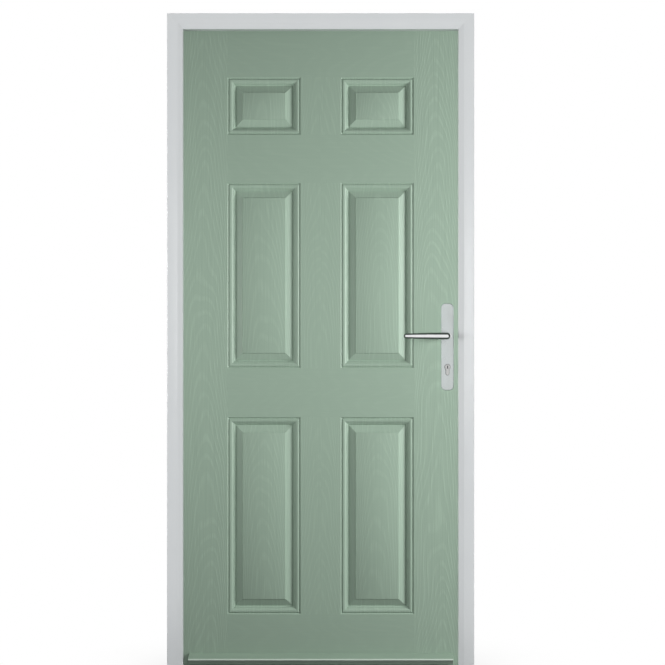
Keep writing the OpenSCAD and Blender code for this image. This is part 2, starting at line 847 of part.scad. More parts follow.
// Weather bar on the leaf's foot, with a sloping top, a lip and a hollow throat under it
module bar_section(inset) {
    z1 = z_leaf + bar_top;
    z0 = z1 - bar_h;
    nose = y_out - bar_out;
    lip = 4;
    polygon([[y_out - inset, z1 - inset], [y_out - 2.5, z1 - inset],
        [nose + 1.5 + inset, z1 - bar_fall - inset], [nose + inset, z1 - bar_fall - 1.5 - inset],
        [nose + inset, z1 - bar_fall - lip], [nose + bar_out * 0.2 + inset, z1 - bar_fall - lip - 4],
        [nose + bar_out * 0.36 + inset, z0 + 5], [nose + bar_out * 0.42 + inset, z0 + inset],
        [y_out - inset, z0 + inset]]);
}

module weather_bar() {
    color([0.5, 0.58, 0.51]) along_x(-bar_l / 2 + bar_wall, bar_l / 2 - bar_wall) difference() {
        bar_section(0);
        bar_section(bar_wall);
    }
}

module weather_bar_caps() {
    color([0.5, 0.58, 0.51]) for (s = [0, 1]) mirror([s, 0, 0])
        along_x(bar_l / 2 - bar_wall, bar_l / 2) bar_section(0);
}

// Lock faceplate and cases in the leaf's edge
module faceplate_outline(x0, x1) {
    r = faceplate_w / 2;
    along_x(x0, x1) {
        translate([-r, faceplate_z0 + r]) square([faceplate_w, faceplate_z1 - faceplate_z0 - faceplate_w]);
        for (z = [faceplate_z0 + r, faceplate_z1 - r]) translate([0, z]) circle(r = r);
    }
}

module at_faceplate_screws() {
    for (z = faceplate_screw_zs) translate([x_edge, 0, z]) rotate([0, -90, 0]) children();
}

module at_cylinder_screw() {
    translate([x_edge, 0, cyl_screw_z]) rotate([0, -90, 0]) children();
}

module machine_screw(extra = 0) {
    cylinder(h = faceplate_t - 0.5, r1 = cyl_screw_r + 2.2 + extra, r2 = cyl_screw_r + extra);
    cylinder(h = backset + 3, r = cyl_screw_r + extra);
}

module lock_faceplate() {
    x = [x_plate - 1, x_edge + 1];
    color([0.75, 0.76, 0.78]) difference() {
        faceplate_outline(x_plate, x_edge);
        box(x, [-latch_t / 2 - slide_fit, latch_t / 2 + slide_fit],
            [latch_z - latch_h / 2 - slide_fit, latch_z + latch_h / 2 + slide_fit]);
        box(x, [-dead_t / 2 - slide_fit, dead_t / 2 + slide_fit],
            [bolt_z - dead_h / 2 - slide_fit, bolt_z + dead_h / 2 + slide_fit]);
        for (z = hook_zs) box(x, [-hook_t / 2 - loose, hook_t / 2 + loose],
            [z - hook_slot_low, z + hook_slot_top]);
        at_faceplate_screws() screw(leaf_screw_l, snug);
        at_cylinder_screw() machine_screw(snug);
    }
}

module faceplate_screws() {
    color([0.8, 0.81, 0.82]) at_faceplate_screws() screw(leaf_screw_l);
}

module cylinder_screw() {
    color([0.8, 0.81, 0.82]) at_cylinder_screw() machine_screw();
}

module gearbox_holes() {
    rod_y(lever_x, lever_z, neck_r + running, -case_t, case_t);
    along_y(-case_t, case_t) translate([lever_x, cyl_z]) euro(loose);
}

module gearbox_case() {
    color([0.62, 0.63, 0.65]) difference() {
        box([gear_x0, case_x1], [-case_t / 2, case_room], [gear_z0, gear_z1]);
        box([gear_x0 + case_wall, case_x1 + 1], [-case_room, case_room + 1],
            [gear_z0 + case_wall, gear_z1 - case_wall]);
        gearbox_holes();
    }
}

module gearbox_cover() {
    color([0.66, 0.67, 0.69]) difference() {
        box([gear_x0, case_x1], [case_room, case_t / 2], [gear_z0, gear_z1]);
        gearbox_holes();
    }
}

module hook_case(z) {
    side = hook_t / 2 + slide_fit;
    color([0.62, 0.63, 0.65]) {
        difference() {
            box([hook_case_x0, case_x1], [-case_t / 2, case_t / 2], [z - hook_case_low, z + hook_case_top]);
            box([hook_case_x0 + case_wall, case_x1 + 1], [-case_room, case_room],
                [z - hook_case_low + case_wall, z + hook_case_top - case_wall]);
        }
        rod_y(hook_x, z, hook_pin_r, -case_t / 2, case_t / 2);
        for (s = [0, 1]) mirror([0, s, 0]) rod_y(hook_x, z, hook_eye_r - 1, side, case_room);
    }
}

module upper_hook_case() hook_case(hook_zs[0]);
module lower_hook_case() hook_case(hook_zs[1]);

// Hook hanging from its pivot; it swings out and up behind the keep
module hook(z) {
    low = -hook_arm;
    tip = hook_half + hook_nose;
    color([0.7, 0.71, 0.73]) along_y(-hook_t / 2, hook_t / 2) translate([hook_x, z]) difference() {
        union() {
            circle(r = hook_eye_r);
            polygon([[-hook_half, 0], [-hook_half, low + 5], [-hook_half + 5, low], [tip - 3, low],
                [tip, low + 4], [tip, low + hook_nose_h - 2], [tip - 2, low + hook_nose_h],
                [hook_half, low + hook_nose_h], [hook_half, 0]]);
        }
        circle(r = hook_pin_r + running);
    }
}

module upper_hook() hook(hook_zs[0]);
module lower_hook() hook(hook_zs[1]);

// Flat rail behind the faceplate, with windows for what passes through it and a lug for the cam
module drive_rail() {
    x = [rail_x0 - 1, rail_x1 + 1];
    bolt_y = latch_t / 2 + 1;
    lug_z = lever_z - arm_half - lug_room;
    color([0.68, 0.69, 0.71]) {
        difference() {
            box([rail_x0, rail_x1], [-rail_w / 2, rail_w / 2],
                [hook_zs[1] - rail_low, hook_zs[0] + rail_high]);
            box(x, [-bolt_y, bolt_y], [latch_z - latch_h / 2 - 2, latch_z + latch_h / 2 + rail_travel + 2]);
            box(x, [-bolt_y, bolt_y], [bolt_z - dead_h / 2 - 2, bolt_z + dead_h / 2 + rail_travel + 2]);
            box(x, [-cyl_screw_r - 1, cyl_screw_r + 1],
                [cyl_screw_z - cyl_screw_r - 2, cyl_screw_z + cyl_screw_r + rail_travel + 2]);
            for (z = hook_zs) box(x, [-hook_t / 2 - 1, hook_t / 2 + 1],
                [z - hook_slot_low - 1, z + hook_slot_top + rail_travel + 2]);
            for (z = faceplate_screw_zs) box(x, [-screw_r - 1, screw_r + 1],
                [z - screw_r - 2, z + screw_r + rail_travel + 2]);
        }
        box([lever_x + arm_l - 5, rail_x0], [hub_gap + 0.6, case_room - 0.9], [lug_z - 6, lug_z]);
    }
}

// Hubs on the spindle: the lift cam works the rail, the follower works the latch
module lift_cam() {
    bore_r = spindle_a / sqrt(2) + 0.8;
    y1 = case_room - hub_gap;
    color([0.72, 0.68, 0.5]) difference() {
        union() {
            rod_y(lever_x, lever_z, hub_r, hub_gap, y1);
            rod_y(lever_x, lever_z, neck_r, y1, case_t / 2);
            box([lever_x, lever_x + arm_l], [hub_gap + 0.4, y1 - 0.4],
                [lever_z - arm_half, lever_z + arm_half]);
        }
        rod_y(lever_x, lever_z, bore_r, -1, case_t);
    }
}

module square_hole(y0, y1) {
    half = spindle_a / 2 + snug;
    box([lever_x - half, lever_x + half], [y0, y1], [lever_z - half, lever_z + half]);
}

module latch_follower() {
    y0 = -case_room + hub_gap;
    color([0.72, 0.68, 0.5]) difference() {
        union() {
            rod_y(lever_x, lever_z, hub_r, y0, -hub_gap);
            rod_y(lever_x, lever_z, neck_r, -case_t / 2, y0);
            box([lever_x - arm_half, lever_x + arm_half], [y0 + 0.4, -hub_gap - 0.4],
                [lever_z, lever_z + arm_l]);
        }
        square_hole(-case_t, 1);
    }
}

module spindle() {
    half = spindle_a / 2;
    color([0.6, 0.61, 0.63]) box([lever_x - half, lever_x + half], [-spindle_half, spindle_half],
        [lever_z - half, lever_z + half]);
}

// Wedge-nosed latch and square dead bolt, both drawn back flush with the faceplate
module latch_bolt() {
    half = latch_t / 2;
    back = x_edge - latch_l;
    color([0.74, 0.75, 0.77]) {
        translate([0, 0, latch_z - latch_h / 2]) linear_extrude(latch_h)
            polygon([[back, -half], [x_edge - latch_nose, -half], [x_edge, half - latch_lip], [x_edge, half],
                [back, half]]);
        box([back - latch_tail, back + tail_lap], [-half / 2, half / 2], [latch_z - 3, latch_z + 3]);
    }
}

module dead_bolt() {
    half = dead_t / 2;
    back = x_edge - dead_l;
    color([0.74, 0.75, 0.77]) {
        box([back, x_edge], [-half, half], [bolt_z - dead_h / 2, bolt_z + dead_h / 2]);
        box([back - dead_tail, back + tail_lap], [-half / 2, half / 2], [bolt_z - 4, bolt_z + 4]);
    }
}

// Cylinder with its plugs, cam and room-side turn
module cylinder_body() {
    gap = cam_half + cam_room;
    web = cam_r + 0.6;
    color([0.8, 0.81, 0.82]) difference() {
        along_y(-cyl_half, cyl_half) translate([lever_x, cyl_z]) euro();
        rod_y(lever_x, cyl_z, plug_r + running, -cyl_half - 1, cyl_half + 1);
        box([lever_x - far / 2, lever_x + far / 2], [-gap, gap], [cyl_z - web, cyl_z + far]);
        at_cylinder_screw() machine_screw(snug);
    }
}

module key_plug() {
    color([0.82, 0.78, 0.6]) difference() {
        rod_y(lever_x, cyl_z, plug_r, -cyl_half, -cam_half);
        box([lever_x - 1.3, lever_x + 1.3], [-cyl_half - 1, -cyl_half + 14], [cyl_z - 4.6, cyl_z + 4]);
    }
}

module cylinder_cam() {
    color([0.55, 0.56, 0.58]) along_y(-cam_half, cam_half) translate([lever_x, cyl_z]) {
        circle(r = plug_r);
        intersection() {
            circle(r = cam_r);
            translate([-4, -cam_r]) square([8, cam_r]);
        }
    }
}

module thumbturn() {
    grip_w = 9;
    grip_h = 28;
    color([0.8, 0.81, 0.82]) {
        rod_y(lever_x, cyl_z, plug_r, cam_half, cyl_half + 1);
        rod_y(lever_x, cyl_z, euro_r, cyl_half + 1, cyl_half + 5);
        along_y(cyl_half + 5, cyl_half + 22) translate([lever_x, cyl_z]) {
            translate([-grip_w / 2, -grip_h / 2 + grip_w / 2]) square([grip_w, grip_h - grip_w]);
            for (s = [-1, 1]) translate([0, s * (grip_h - grip_w) / 2]) circle(r = grip_w / 2);
        }
    }
}

// Handles: long plates with a domed face, and round tapered levers
module plate_outline(inset) {
    w = plate_w - 2 * inset;
    h = plate_up + plate_down - 2 * inset;
    r = plate_r - inset;
    translate([lever_x - plate_w / 2 + inset, lever_z - plate_down + inset]) {
        translate([r, 0]) square([w - 2 * r, h]);
        translate([0, r]) square([w, h - 2 * r]);
        for (x = [r, w - r], z = [r, h - r]) translate([x, z]) circle(r = r);
    }
}

// Drawn for the outside: its back lies at y = 0 and its face towards -Y
module plate_body() {
    dome_r = (pow(plate_w / 2, 2) + pow(plate_dome, 2)) / (2 * plate_dome);
    intersection() {
        along_y(-plate_t, 0) plate_outline(0);
        translate([lever_x, dome_r - plate_t, lever_z - plate_down - 1])
            cylinder(r = dome_r, h = plate_up + plate_down + 2, $fn = 96);
    }
}

module backplate() {
    difference() {
        union() {
            difference() {
                plate_body();
                along_y(-plate_pocket, 1) plate_outline(plate_rim);
            }
            rod_y(lever_x, lever_z, collar_r, -plate_t - collar_h, 0);
            for (z = handle_bolt_zs) rod_y(lever_x, z, handle_bolt_r + 3, -plate_pocket - 1, 0);
            along_y(-plate_pocket - 1, 0) translate([lever_x, cyl_z]) euro(3.5);
        }
        rod_y(lever_x, lever_z, neck_r + running, -plate_t - collar_h - 1, 1);
        along_y(-plate_t - 1, 1) translate([lever_x, cyl_z]) euro(loose / 2);
    }
}

module outer_backplate() {
    color([0.82, 0.83, 0.85]) difference() {
        translate([0, y_out, 0]) backplate();
        at_handle_bolts() bolt(snug);
    }
}

module inner_backplate() {
    color([0.82, 0.83, 0.85]) difference() {
        translate([0, y_in, 0]) mirror([0, 1, 0]) backplate();
        at_handle_bolts() bolt(snug);
    }
}

// Bolts from the room side into the outer plate's posts
module at_handle_bolts() {
    for (z = handle_bolt_zs) translate([lever_x, y_in + plate_t, z]) rotate([90, 0, 0]) children();
}

module bolt(extra = 0) {
    l = leaf_t + plate_t + plate_pocket - 1;
    cylinder(h = l, r = handle_bolt_r + extra);
    cylinder(h = 2.5, r1 = handle_bolt_r + 2.3 + extra, r2 = handle_bolt_r + extra);
}

module handle_bolts() {
    color([0.8, 0.81, 0.82]) at_handle_bolts() bolt();
}

// Half of the lever's long section: a round root, a taper that quickens towards the tip, and a round tip
module lever_section() {
    body_l = lever_l - lever_tip_r - root_in;
    function taper_r(t) = lever_root_r - (lever_root_r - lever_tip_r) * t * t;
    intersection() {
        translate([0, -lever_root_r]) square([lever_root_r, lever_root_r + body_l + lever_tip_r]);
        union() {
            circle(r = lever_root_r);
            polygon(concat([[0, 0]],
                [for (i = [0:taper_steps]) [taper_r(i / taper_steps), body_l * i / taper_steps]],
                [[0, body_l]]));
            translate([0, body_l]) circle(r = lever_tip_r);
        }
    }
}

module lever() {
    difference() {
        union() {
            rod_y(lever_x, lever_z, neck_r, -lever_y + neck_end, -neck_in);
            translate([lever_x - root_in, -lever_y, lever_z]) rotate([0, -90, 0])
                rotate_extrude() lever_section();
        }
        square_hole(-spindle_half - 1, -neck_in + 1);
    }
}

module outer_lever() {
    color([0.84, 0.85, 0.87]) lever();
}

module inner_lever() {
    color([0.84, 0.85, 0.87]) mirror([0, 1, 0]) lever();
}

hinge_jamb();
lock_jamb();
frame_head();
threshold();
hinge_jamb_steel();
lock_jamb_steel();
head_steel();
frame_gasket();
threshold_gasket();
centre_keep();
upper_hook_keep();
lower_hook_keep();
keep_screws();
upper_hinge_frame_leaf();
middle_hinge_frame_leaf();
lower_hinge_frame_leaf();
upper_hinge_pin();
middle_hinge_pin();
lower_hinge_pin();
frame_hinge_screws();
outer_skin();
inner_skin();
foam_core();
hinge_stile();
lock_stile();
top_rail();
bottom_rail();
weather_bar();
weather_bar_caps();
bottom_sweep();
upper_hinge_door_leaf();
middle_hinge_door_leaf();
lower_hinge_door_leaf();
door_hinge_screws();
lock_faceplate();
faceplate_screws();
gearbox_case();
gearbox_cover();
upper_hook_case();
lower_hook_case();
outer_backplate();
inner_backplate();
handle_bolts();
cylinder_body();
cylinder_screw();
lift_cam();
outer_lever();
inner_lever();
spindle();
latch_follower();
latch_bolt();
dead_bolt();
upper_hook();
lower_hook();
drive_rail();
key_plug();
cylinder_cam();
thumbturn();
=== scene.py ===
# Six-panel entrance door in its frame: finishes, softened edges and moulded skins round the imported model.
import math

import bmesh
import bpy
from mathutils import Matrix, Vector


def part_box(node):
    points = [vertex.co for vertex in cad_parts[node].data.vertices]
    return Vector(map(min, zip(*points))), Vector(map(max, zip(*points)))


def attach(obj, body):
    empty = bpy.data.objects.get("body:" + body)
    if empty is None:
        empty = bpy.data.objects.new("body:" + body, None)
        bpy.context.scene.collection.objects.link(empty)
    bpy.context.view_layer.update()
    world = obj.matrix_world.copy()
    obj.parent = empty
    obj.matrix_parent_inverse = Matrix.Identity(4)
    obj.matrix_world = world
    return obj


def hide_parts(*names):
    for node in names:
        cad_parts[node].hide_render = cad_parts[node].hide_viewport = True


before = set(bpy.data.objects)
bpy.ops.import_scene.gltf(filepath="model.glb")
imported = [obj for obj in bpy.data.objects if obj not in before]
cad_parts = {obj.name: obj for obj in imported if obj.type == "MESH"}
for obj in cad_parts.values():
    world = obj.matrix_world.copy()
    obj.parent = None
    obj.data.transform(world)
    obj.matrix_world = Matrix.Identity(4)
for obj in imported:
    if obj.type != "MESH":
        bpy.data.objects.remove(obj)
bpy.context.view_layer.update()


# Frame: two jambs and a head of hollow white plastic profile, sawn at 45 degrees at the top corners and
# welded there. The extruded edges are slightly round, and the surface is a satin with a faint flow along it.
frame_white = (0.68, 0.705, 0.715)
frame_shade = (0.65, 0.675, 0.69)
frame_edge = 0.0012
frame_edge_from = 0.03
sharp_angle = math.radians(25)
flat_angle = math.radians(0.5)
merge_room = 0.00001
smooth_angle = math.radians(32)


def finish(name, colour, roughness, metallic=0.0):
    """A material with its tree, its shader and the socket of the object's own coordinates."""
    material = bpy.data.materials.new(name)
    material.use_nodes = True
    tree = material.node_tree
    shader = tree.nodes["Principled BSDF"]
    shader.inputs["Base Color"].default_value = (*colour, 1.0)
    shader.inputs["Roughness"].default_value = roughness
    shader.inputs["Metallic"].default_value = metallic
    place = tree.nodes.new("ShaderNodeTexCoord").outputs["Object"]
    return material, tree, shader, place


def noise(tree, place, stretch, detail=3.0, distortion=0.0):
    """Noise with so many spots to the metre along each axis."""
    mapping = tree.nodes.new("ShaderNodeMapping")
    mapping.inputs["Scale"].default_value = stretch
    tree.links.new(place, mapping.inputs["Vector"])
    texture = tree.nodes.new("ShaderNodeTexNoise")
    texture.inputs["Scale"].default_value = 1.0
    texture.inputs["Detail"].default_value = detail
    texture.inputs["Distortion"].default_value = distortion
    tree.links.new(mapping.outputs["Vector"], texture.inputs["Vector"])
    return texture.outputs["Fac"]


def spread(tree, value, low, high, start=0.3, end=0.7):
    """The value stretched from start and end to low and high."""
    node = tree.nodes.new("ShaderNodeMapRange")
    node.inputs["From Min"].default_value = start
    node.inputs["From Max"].default_value = end
    node.inputs["To Min"].default_value = low
    node.inputs["To Max"].default_value = high
    tree.links.new(value, node.inputs["Value"])
    return node.outputs["Result"]


def tint(tree, shader, factor, shade, colour):
    """Base colour between a shade and the full colour."""
    node = tree.nodes.new("ShaderNodeMix")
    node.data_type = "RGBA"
    node.inputs[6].default_value = (*shade, 1.0)
    node.inputs[7].default_value = (*colour, 1.0)
    tree.links.new(factor, node.inputs[0])
    tree.links.new(node.outputs[2], shader.inputs["Base Color"])


def relief(tree, shader, height, depth, strength=1.0):
    """Fine relief so many metres deep."""
    node = tree.nodes.new("ShaderNodeBump")
    node.inputs["Strength"].default_value = strength
    node.inputs["Distance"].default_value = depth
    tree.links.new(height, node.inputs["Height"])
    tree.links.new(node.outputs["Normal"], shader.inputs["Normal"])


def select_only(piece):
    bpy.ops.object.select_all(action="DESELECT")
    piece.select_set(True)
    bpy.context.view_layer.objects.active = piece


def merged_copy(node, name):
    """A copy of a CAD node with its triangles joined into whole faces."""
    piece = bpy.data.objects.new(name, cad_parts[node].data.copy())
    bpy.context.scene.collection.objects.link(piece)
    select_only(piece)
    bpy.ops.object.mode_set(mode="EDIT")
    bpy.ops.mesh.select_all(action="SELECT")
    bpy.ops.mesh.remove_doubles(threshold=merge_room)
    bpy.ops.mesh.dissolve_limited(angle_limit=flat_angle)
    bpy.ops.object.mode_set(mode="OBJECT")
    return piece


def soften(piece, width, shortest=0.0, segments=2):
    """Rounds the outer edges that are longer than the shortest named."""
    select_only(piece)
    bpy.ops.object.mode_set(mode="EDIT")
    bpy.ops.mesh.select_mode(type="EDGE")
    bpy.ops.mesh.select_all(action="DESELECT")
    mesh = bmesh.from_edit_mesh(piece.data)
    for edge in mesh.edges:
        sharp = edge.is_convex and edge.calc_face_angle(0.0) > sharp_angle
        edge.select_set(sharp and edge.calc_length() > shortest)
    bmesh.update_edit_mesh(piece.data)
    bpy.ops.mesh.bevel(offset=width, segments=segments, affect="EDGES", clamp_overlap=True)
    bpy.ops.object.mode_set(mode="OBJECT")
    bpy.ops.object.shade_smooth_by_angle(angle=smooth_angle)
    piece.modifiers.new("wide_faces_flat", "WEIGHTED_NORMAL").keep_sharp = True
    bpy.ops.object.modifier_apply(modifier="wide_faces_flat")


def hand_over(piece, body, slot, material, *nodes):
    """The finished piece takes its material, rides on its body and stands for its nodes."""
    piece.data.materials.clear()
    piece.data.materials.append(material)
    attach(piece, body)
    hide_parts(*nodes)


def white_plastic():
    material, tree, shader, place = finish("frame_white_plastic", frame_white, 0.34)
    shader.inputs["Specular IOR Level"].default_value = 1.0
    shader.inputs["Coat Weight"].default_value = 1.0
    shader.inputs["Coat IOR"].default_value = 1.8
    shader.inputs["Coat Roughness"].default_value = 0.25
    tint(tree, shader, spread(tree, noise(tree, place, (3, 3, 3)), 0, 1), frame_shade, frame_white)
    tree.links.new(spread(tree, noise(tree, place, (40, 40, 6)), 0.3, 0.4), shader.inputs["Roughness"])
    relief(tree, shader, noise(tree, place, (220, 220, 60), detail=2), 0.00012)
    return material


frame_finish = white_plastic()
for member in ("hinge_jamb", "lock_jamb", "frame_head"):
    profile = merged_copy(member, member + "_profile")
    soften(profile, frame_edge, frame_edge_from)
    hand_over(profile, "frame", "frame_white", frame_finish, member)
    # The pale profile throws no bounced light on the leaf
    profile.visible_diffuse = False


# Steel channels inside the head and the jambs, rolled from galvanised strip and slid in before welding.
# Only their cut ends can be seen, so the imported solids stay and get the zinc's frosted patches.
zinc_pale = (0.62, 0.63, 0.64)
zinc_dark = (0.44, 0.45, 0.47)
zinc_patches = 90


def galvanised():
    material, tree, shader, place = finish("galvanised_strip", zinc_pale, 0.45, 1.0)
    patches = tree.nodes.new("ShaderNodeTexVoronoi")
    patches.inputs["Scale"].default_value = zinc_patches
    tree.links.new(place, patches.inputs["Vector"])
    tint(tree, shader, patches.outputs["Distance"], zinc_pale, zinc_dark)
    tree.links.new(spread(tree, noise(tree, place, (60, 60, 60)), 0.35, 0.55), shader.inputs["Roughness"])
    return material


def dress(material, *nodes):
    """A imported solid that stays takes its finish."""
    for node in nodes:
        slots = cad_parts[node].data.materials
        slots.clear()
        slots.append(material)


dress(galvanised(), "hinge_jamb_steel", "lock_jamb_steel", "head_steel")


# Threshold: one aluminium extrusion fixed between the jambs, with an upstand outside and a ramp inside.
# It is anodised, with fine die lines along its length and slightly eased edges.
sill_pale = (0.66, 0.665, 0.67)
sill_dark = (0.5, 0.505, 0.515)
sill_edge = 0.0008


def anodised():
    material, tree, shader, place = finish("anodised_sill", sill_pale, 0.36, 1.0)
    lines = noise(tree, place, (1.5, 900, 900), detail=2)
    tint(tree, shader, spread(tree, lines, 0, 1), sill_dark, sill_pale)
    tree.links.new(spread(tree, noise(tree, place, (9, 60, 60)), 0.28, 0.46), shader.inputs["Roughness"])
    relief(tree, shader, lines, 0.00006)
    return material


sill = merged_copy("threshold", "threshold_bar")
soften(sill, sill_edge, frame_edge_from)
hand_over(sill, "frame", "threshold_aluminium", anodised(), "threshold")


# Seals: black rubber bulbs pushed into grooves round the stop and along the threshold, and a sweep with two
# blades under the leaf. They are extruded, dull and slightly dusty.
rubber_black = (0.018, 0.018, 0.019)
rubber_grey = (0.045, 0.045, 0.046)


def rubber():
    material, tree, shader, place = finish("seal_rubber", rubber_black, 0.62)
    tint(tree, shader, spread(tree, noise(tree, place, (35, 35, 35)), 0, 1), rubber_black, rubber_grey)
    relief(tree, shader, noise(tree, place, (900, 900, 900)), 0.00008)
    return material


dress(rubber(), "frame_gasket", "threshold_gasket", "bottom_sweep")


# Keeps in the lock jamb and the long faceplate in the leaf's edge, pressed from brushed stainless strip.
# The brushing runs along them, and their edges are deburred.
steel_pale = (0.68, 0.68, 0.67)
steel_dark = (0.5, 0.5, 0.5)
plate_edge = 0.0004


def brushed(name, pale, dark, along, roughness):
    """Brushed metal whose scratches run along one axis."""
    material, tree, shader, place = finish(name, pale, roughness, 1.0)
    stretch = tuple(4 if axis == along else 1400 for axis in "xyz")
    scratches = noise(tree, place, stretch, detail=2)
    tint(tree, shader, spread(tree, scratches, 0, 1), dark, pale)
    worn = noise(tree, place, (25, 25, 25))
    tree.links.new(spread(tree, worn, roughness - 0.06, roughness + 0.08), shader.inputs["Roughness"])
    relief(tree, shader, scratches, 0.00003)
    return material


strip_finish = brushed("brushed_strip", steel_pale, steel_dark, "z", 0.3)
for plate, body in (("centre_keep", "frame"), ("upper_hook_keep", "frame"), ("lower_hook_keep", "frame"),
                    ("lock_faceplate", "leaf")):
    strip = merged_copy(plate, plate + "_strip")
    soften(strip, plate_edge)
    hand_over(strip, body, "plate_steel", strip_finish, plate)


# Hinges: two plates with rolled knuckles on a pin, let into jamb and leaf, in satin nickel-plated steel.
# The plates are stamped, so their edges are slightly round; the pins are turned.
hinge_pale = (0.64, 0.635, 0.62)
hinge_dark = (0.5, 0.495, 0.485)
hinge_edge = 0.0005
hinge_finish = brushed("satin_hinge", hinge_pale, hinge_dark, "z", 0.34)
for height in ("upper", "middle", "lower"):
    for part, body in (("frame_leaf", "frame"), ("pin", "frame"), ("door_leaf", "leaf")):
        node = height + "_hinge_" + part
        plate = merged_copy(node, node + "_satin")
        soften(plate, hinge_edge)
        hand_over(plate, body, "hinge_steel", hinge_finish, node)


# Screws of the keeps, the hinges, the faceplate and the cylinder: zinc-plated steel, sunk flush.
# They hide behind the closed leaf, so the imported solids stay, with their bright plating slightly uneven.
screw_pale = (0.7, 0.7, 0.69)
screw_dark = (0.45, 0.45, 0.46)


def zinc_plate():
    material, tree, shader, place = finish("zinc_plate", screw_pale, 0.28, 1.0)
    tint(tree, shader, spread(tree, noise(tree, place, (300, 300, 300)), 0, 1), screw_dark, screw_pale)
    tree.links.new(spread(tree, noise(tree, place, (500, 500, 500)), 0.2, 0.4), shader.inputs["Roughness"])
    return material


dress(zinc_plate(), "keep_screws", "frame_hinge_screws", "door_hinge_screws", "faceplate_screws",
      "cylinder_screw")


# Leaf core: softwood stiles and rails round the edge, glued to a rigid foam block.
# The timber shows along the leaf's edges when the door stands open.
timber_pale = (0.56, 0.37, 0.2)
timber_dark = (0.36, 0.2, 0.09)
foam_pale = (0.82, 0.72, 0.46)
foam_dark = (0.68, 0.56, 0.32)


def timber(name, along):
    """Planed softwood with its rings along one axis."""
    material, tree, shader, place = finish(name, timber_pale, 0.55)
    ring_stretch = tuple(1.6 if axis == along else 110 for axis in "xyz")
    pore_stretch = tuple(25 if axis == along else 900 for axis in "xyz")
    rings = noise(tree, place, ring_stretch, detail=4, distortion=0.4)
    pores = noise(tree, place, pore_stretch, detail=2)
    tint(tree, shader, spread(tree, rings, 0, 1, 0.35, 0.62), timber_dark, timber_pale)
    relief(tree, shader, pores, 0.00015)
    return material


def foam():
    material, tree, shader, place = finish("foam_block", foam_pale, 0.9)
    cells = noise(tree, place, (700, 700, 700), detail=2)
    tint(tree, shader, spread(tree, cells, 0, 1), foam_dark, foam_pale)
    relief(tree, shader, cells, 0.0004)
    return material


dress(timber("timber_upright", "z"), "hinge_stile", "lock_stile")
dress(timber("timber_across", "x"), "top_rail", "bottom_rail")
dress(foam(), "foam_core")


# Skins: glass-fibre sheets pressed in a steel mould, outer and inner alike, glued over the core.
# The mould gives the six panels with their quirk, ogee, valley and raised field, and an embossed wood grain.
# The finish is a satin sage paint, the same on both sides.
leaf_green = (0.3, 0.405, 0.32)
leaf_pale = (0.352, 0.47, 0.372)
skin_thick = 0.0022
panel_wide = 0.227
panel_centre = 0.1755
panel_rows = ((0.187, 0.798), (0.95, 1.525), (1.674, 1.852))
mullion_half = panel_centre - panel_wide / 2
stile_from = panel_centre + panel_wide / 2
quirk_wide = 0.0075
quirk_deep = 0.0032
quirk_lip = 0.0004
quirk_floor = (0.45, 0.55)
ovolo_share = 0.45
flat_wide = 0.002
flat_fall = 0.0004
cove_wide = 0.005
valley_in = 0.025
valley_deep = 0.011
rise = 0.001
moulding_wide = 0.0475
field_step = 0.0024
step_wide = 0.002
crown_share = 0.15
crown_drop = 0.0001
round_steps = 10
round_turn = math.radians(65)
skin_smooth = math.radians(22)
hole_room = 0.0005
neck_clear = 0.0095
bolt_clear = 0.003
cylinder_tail = 0.005
notch_deep = 0.0025
beyond = 0.01
through = 0.2
round_sides = 40
figure_on_stile = 1.0
figure_on_panel = 0.8
figure_on_mullion = 0.6
figure_on_rail = 0.3
leaf_half = 0.432
half_board = 0.07
rings_to_metre = 15.0
rings_in_arch = 6.0
rings_in_drift = 15.0
hand_shift = 1.7
board_shift = 23.0
ring_share = 0.55
fibre_share = 0.22
grain_deep = 0.00035


def quarter(start, end, share):
    """A point on a rounding that leaves its start flat and comes steep to its end."""
    turn = round_turn * share
    across = math.sin(turn) / math.sin(round_turn)
    down = (1 - math.cos(turn)) / (1 - math.cos(round_turn))
    return start[0] + (end[0] - start[0]) * across, start[1] + (end[1] - start[1]) * down


def moulding_section():
    """Inset and depth of the moulding, from the groove over ovolo, cove and valley to the field."""
    lip = (quirk_wide, quirk_lip)
    ovolo_end = (valley_in - cove_wide - flat_wide, quirk_lip + ovolo_share * (valley_deep - quirk_lip))
    cove_start = (ovolo_end[0] + flat_wide, ovolo_end[1] + flat_fall)
    valley = (valley_in, valley_deep)
    section = [(quirk_wide * share, quirk_deep) for share in quirk_floor] + [lip]
    section += [quarter(lip, ovolo_end, step / round_steps) for step in range(1, round_steps + 1)]
    section += [quarter(valley, cove_start, step / round_steps) for step in range(round_steps, -1, -1)]
    section += [(valley_in + rise, valley_deep - rise), (moulding_wide - step_wide, field_step)]
    section += [(moulding_wide - step_wide * crown_share, crown_drop), (moulding_wide, 0.0)]
    return section


def in_panel(point):
    beside = abs(abs(point.x) - panel_centre) < panel_wide / 2
    return beside and any(low < point.z < high for low, high in panel_rows)


def cut(piece, cutter):
    """Takes the cutter's shape out of the piece and clears the cutter away."""
    select_only(piece)
    modifier = piece.modifiers.new("cut", "BOOLEAN")
    modifier.operation = "DIFFERENCE"
    modifier.solver = "EXACT"
    modifier.object = cutter
    bpy.ops.object.modifier_apply(modifier="cut")
    bpy.data.objects.remove(cutter)


def round_cutter(centre, radius, length):
    bpy.ops.mesh.primitive_cylinder_add(vertices=round_sides, radius=radius, depth=length, location=centre,
                                        rotation=(math.pi / 2, 0, 0))
    return bpy.context.object


def box_cutter(low, high):
    bpy.ops.mesh.primitive_cube_add(size=1, location=[(a + b) / 2 for a, b in zip(low, high)])
    bpy.context.object.scale = [b - a for a, b in zip(low, high)]
    bpy.ops.object.transform_apply(location=False, rotation=False, scale=True)
    return bpy.context.object


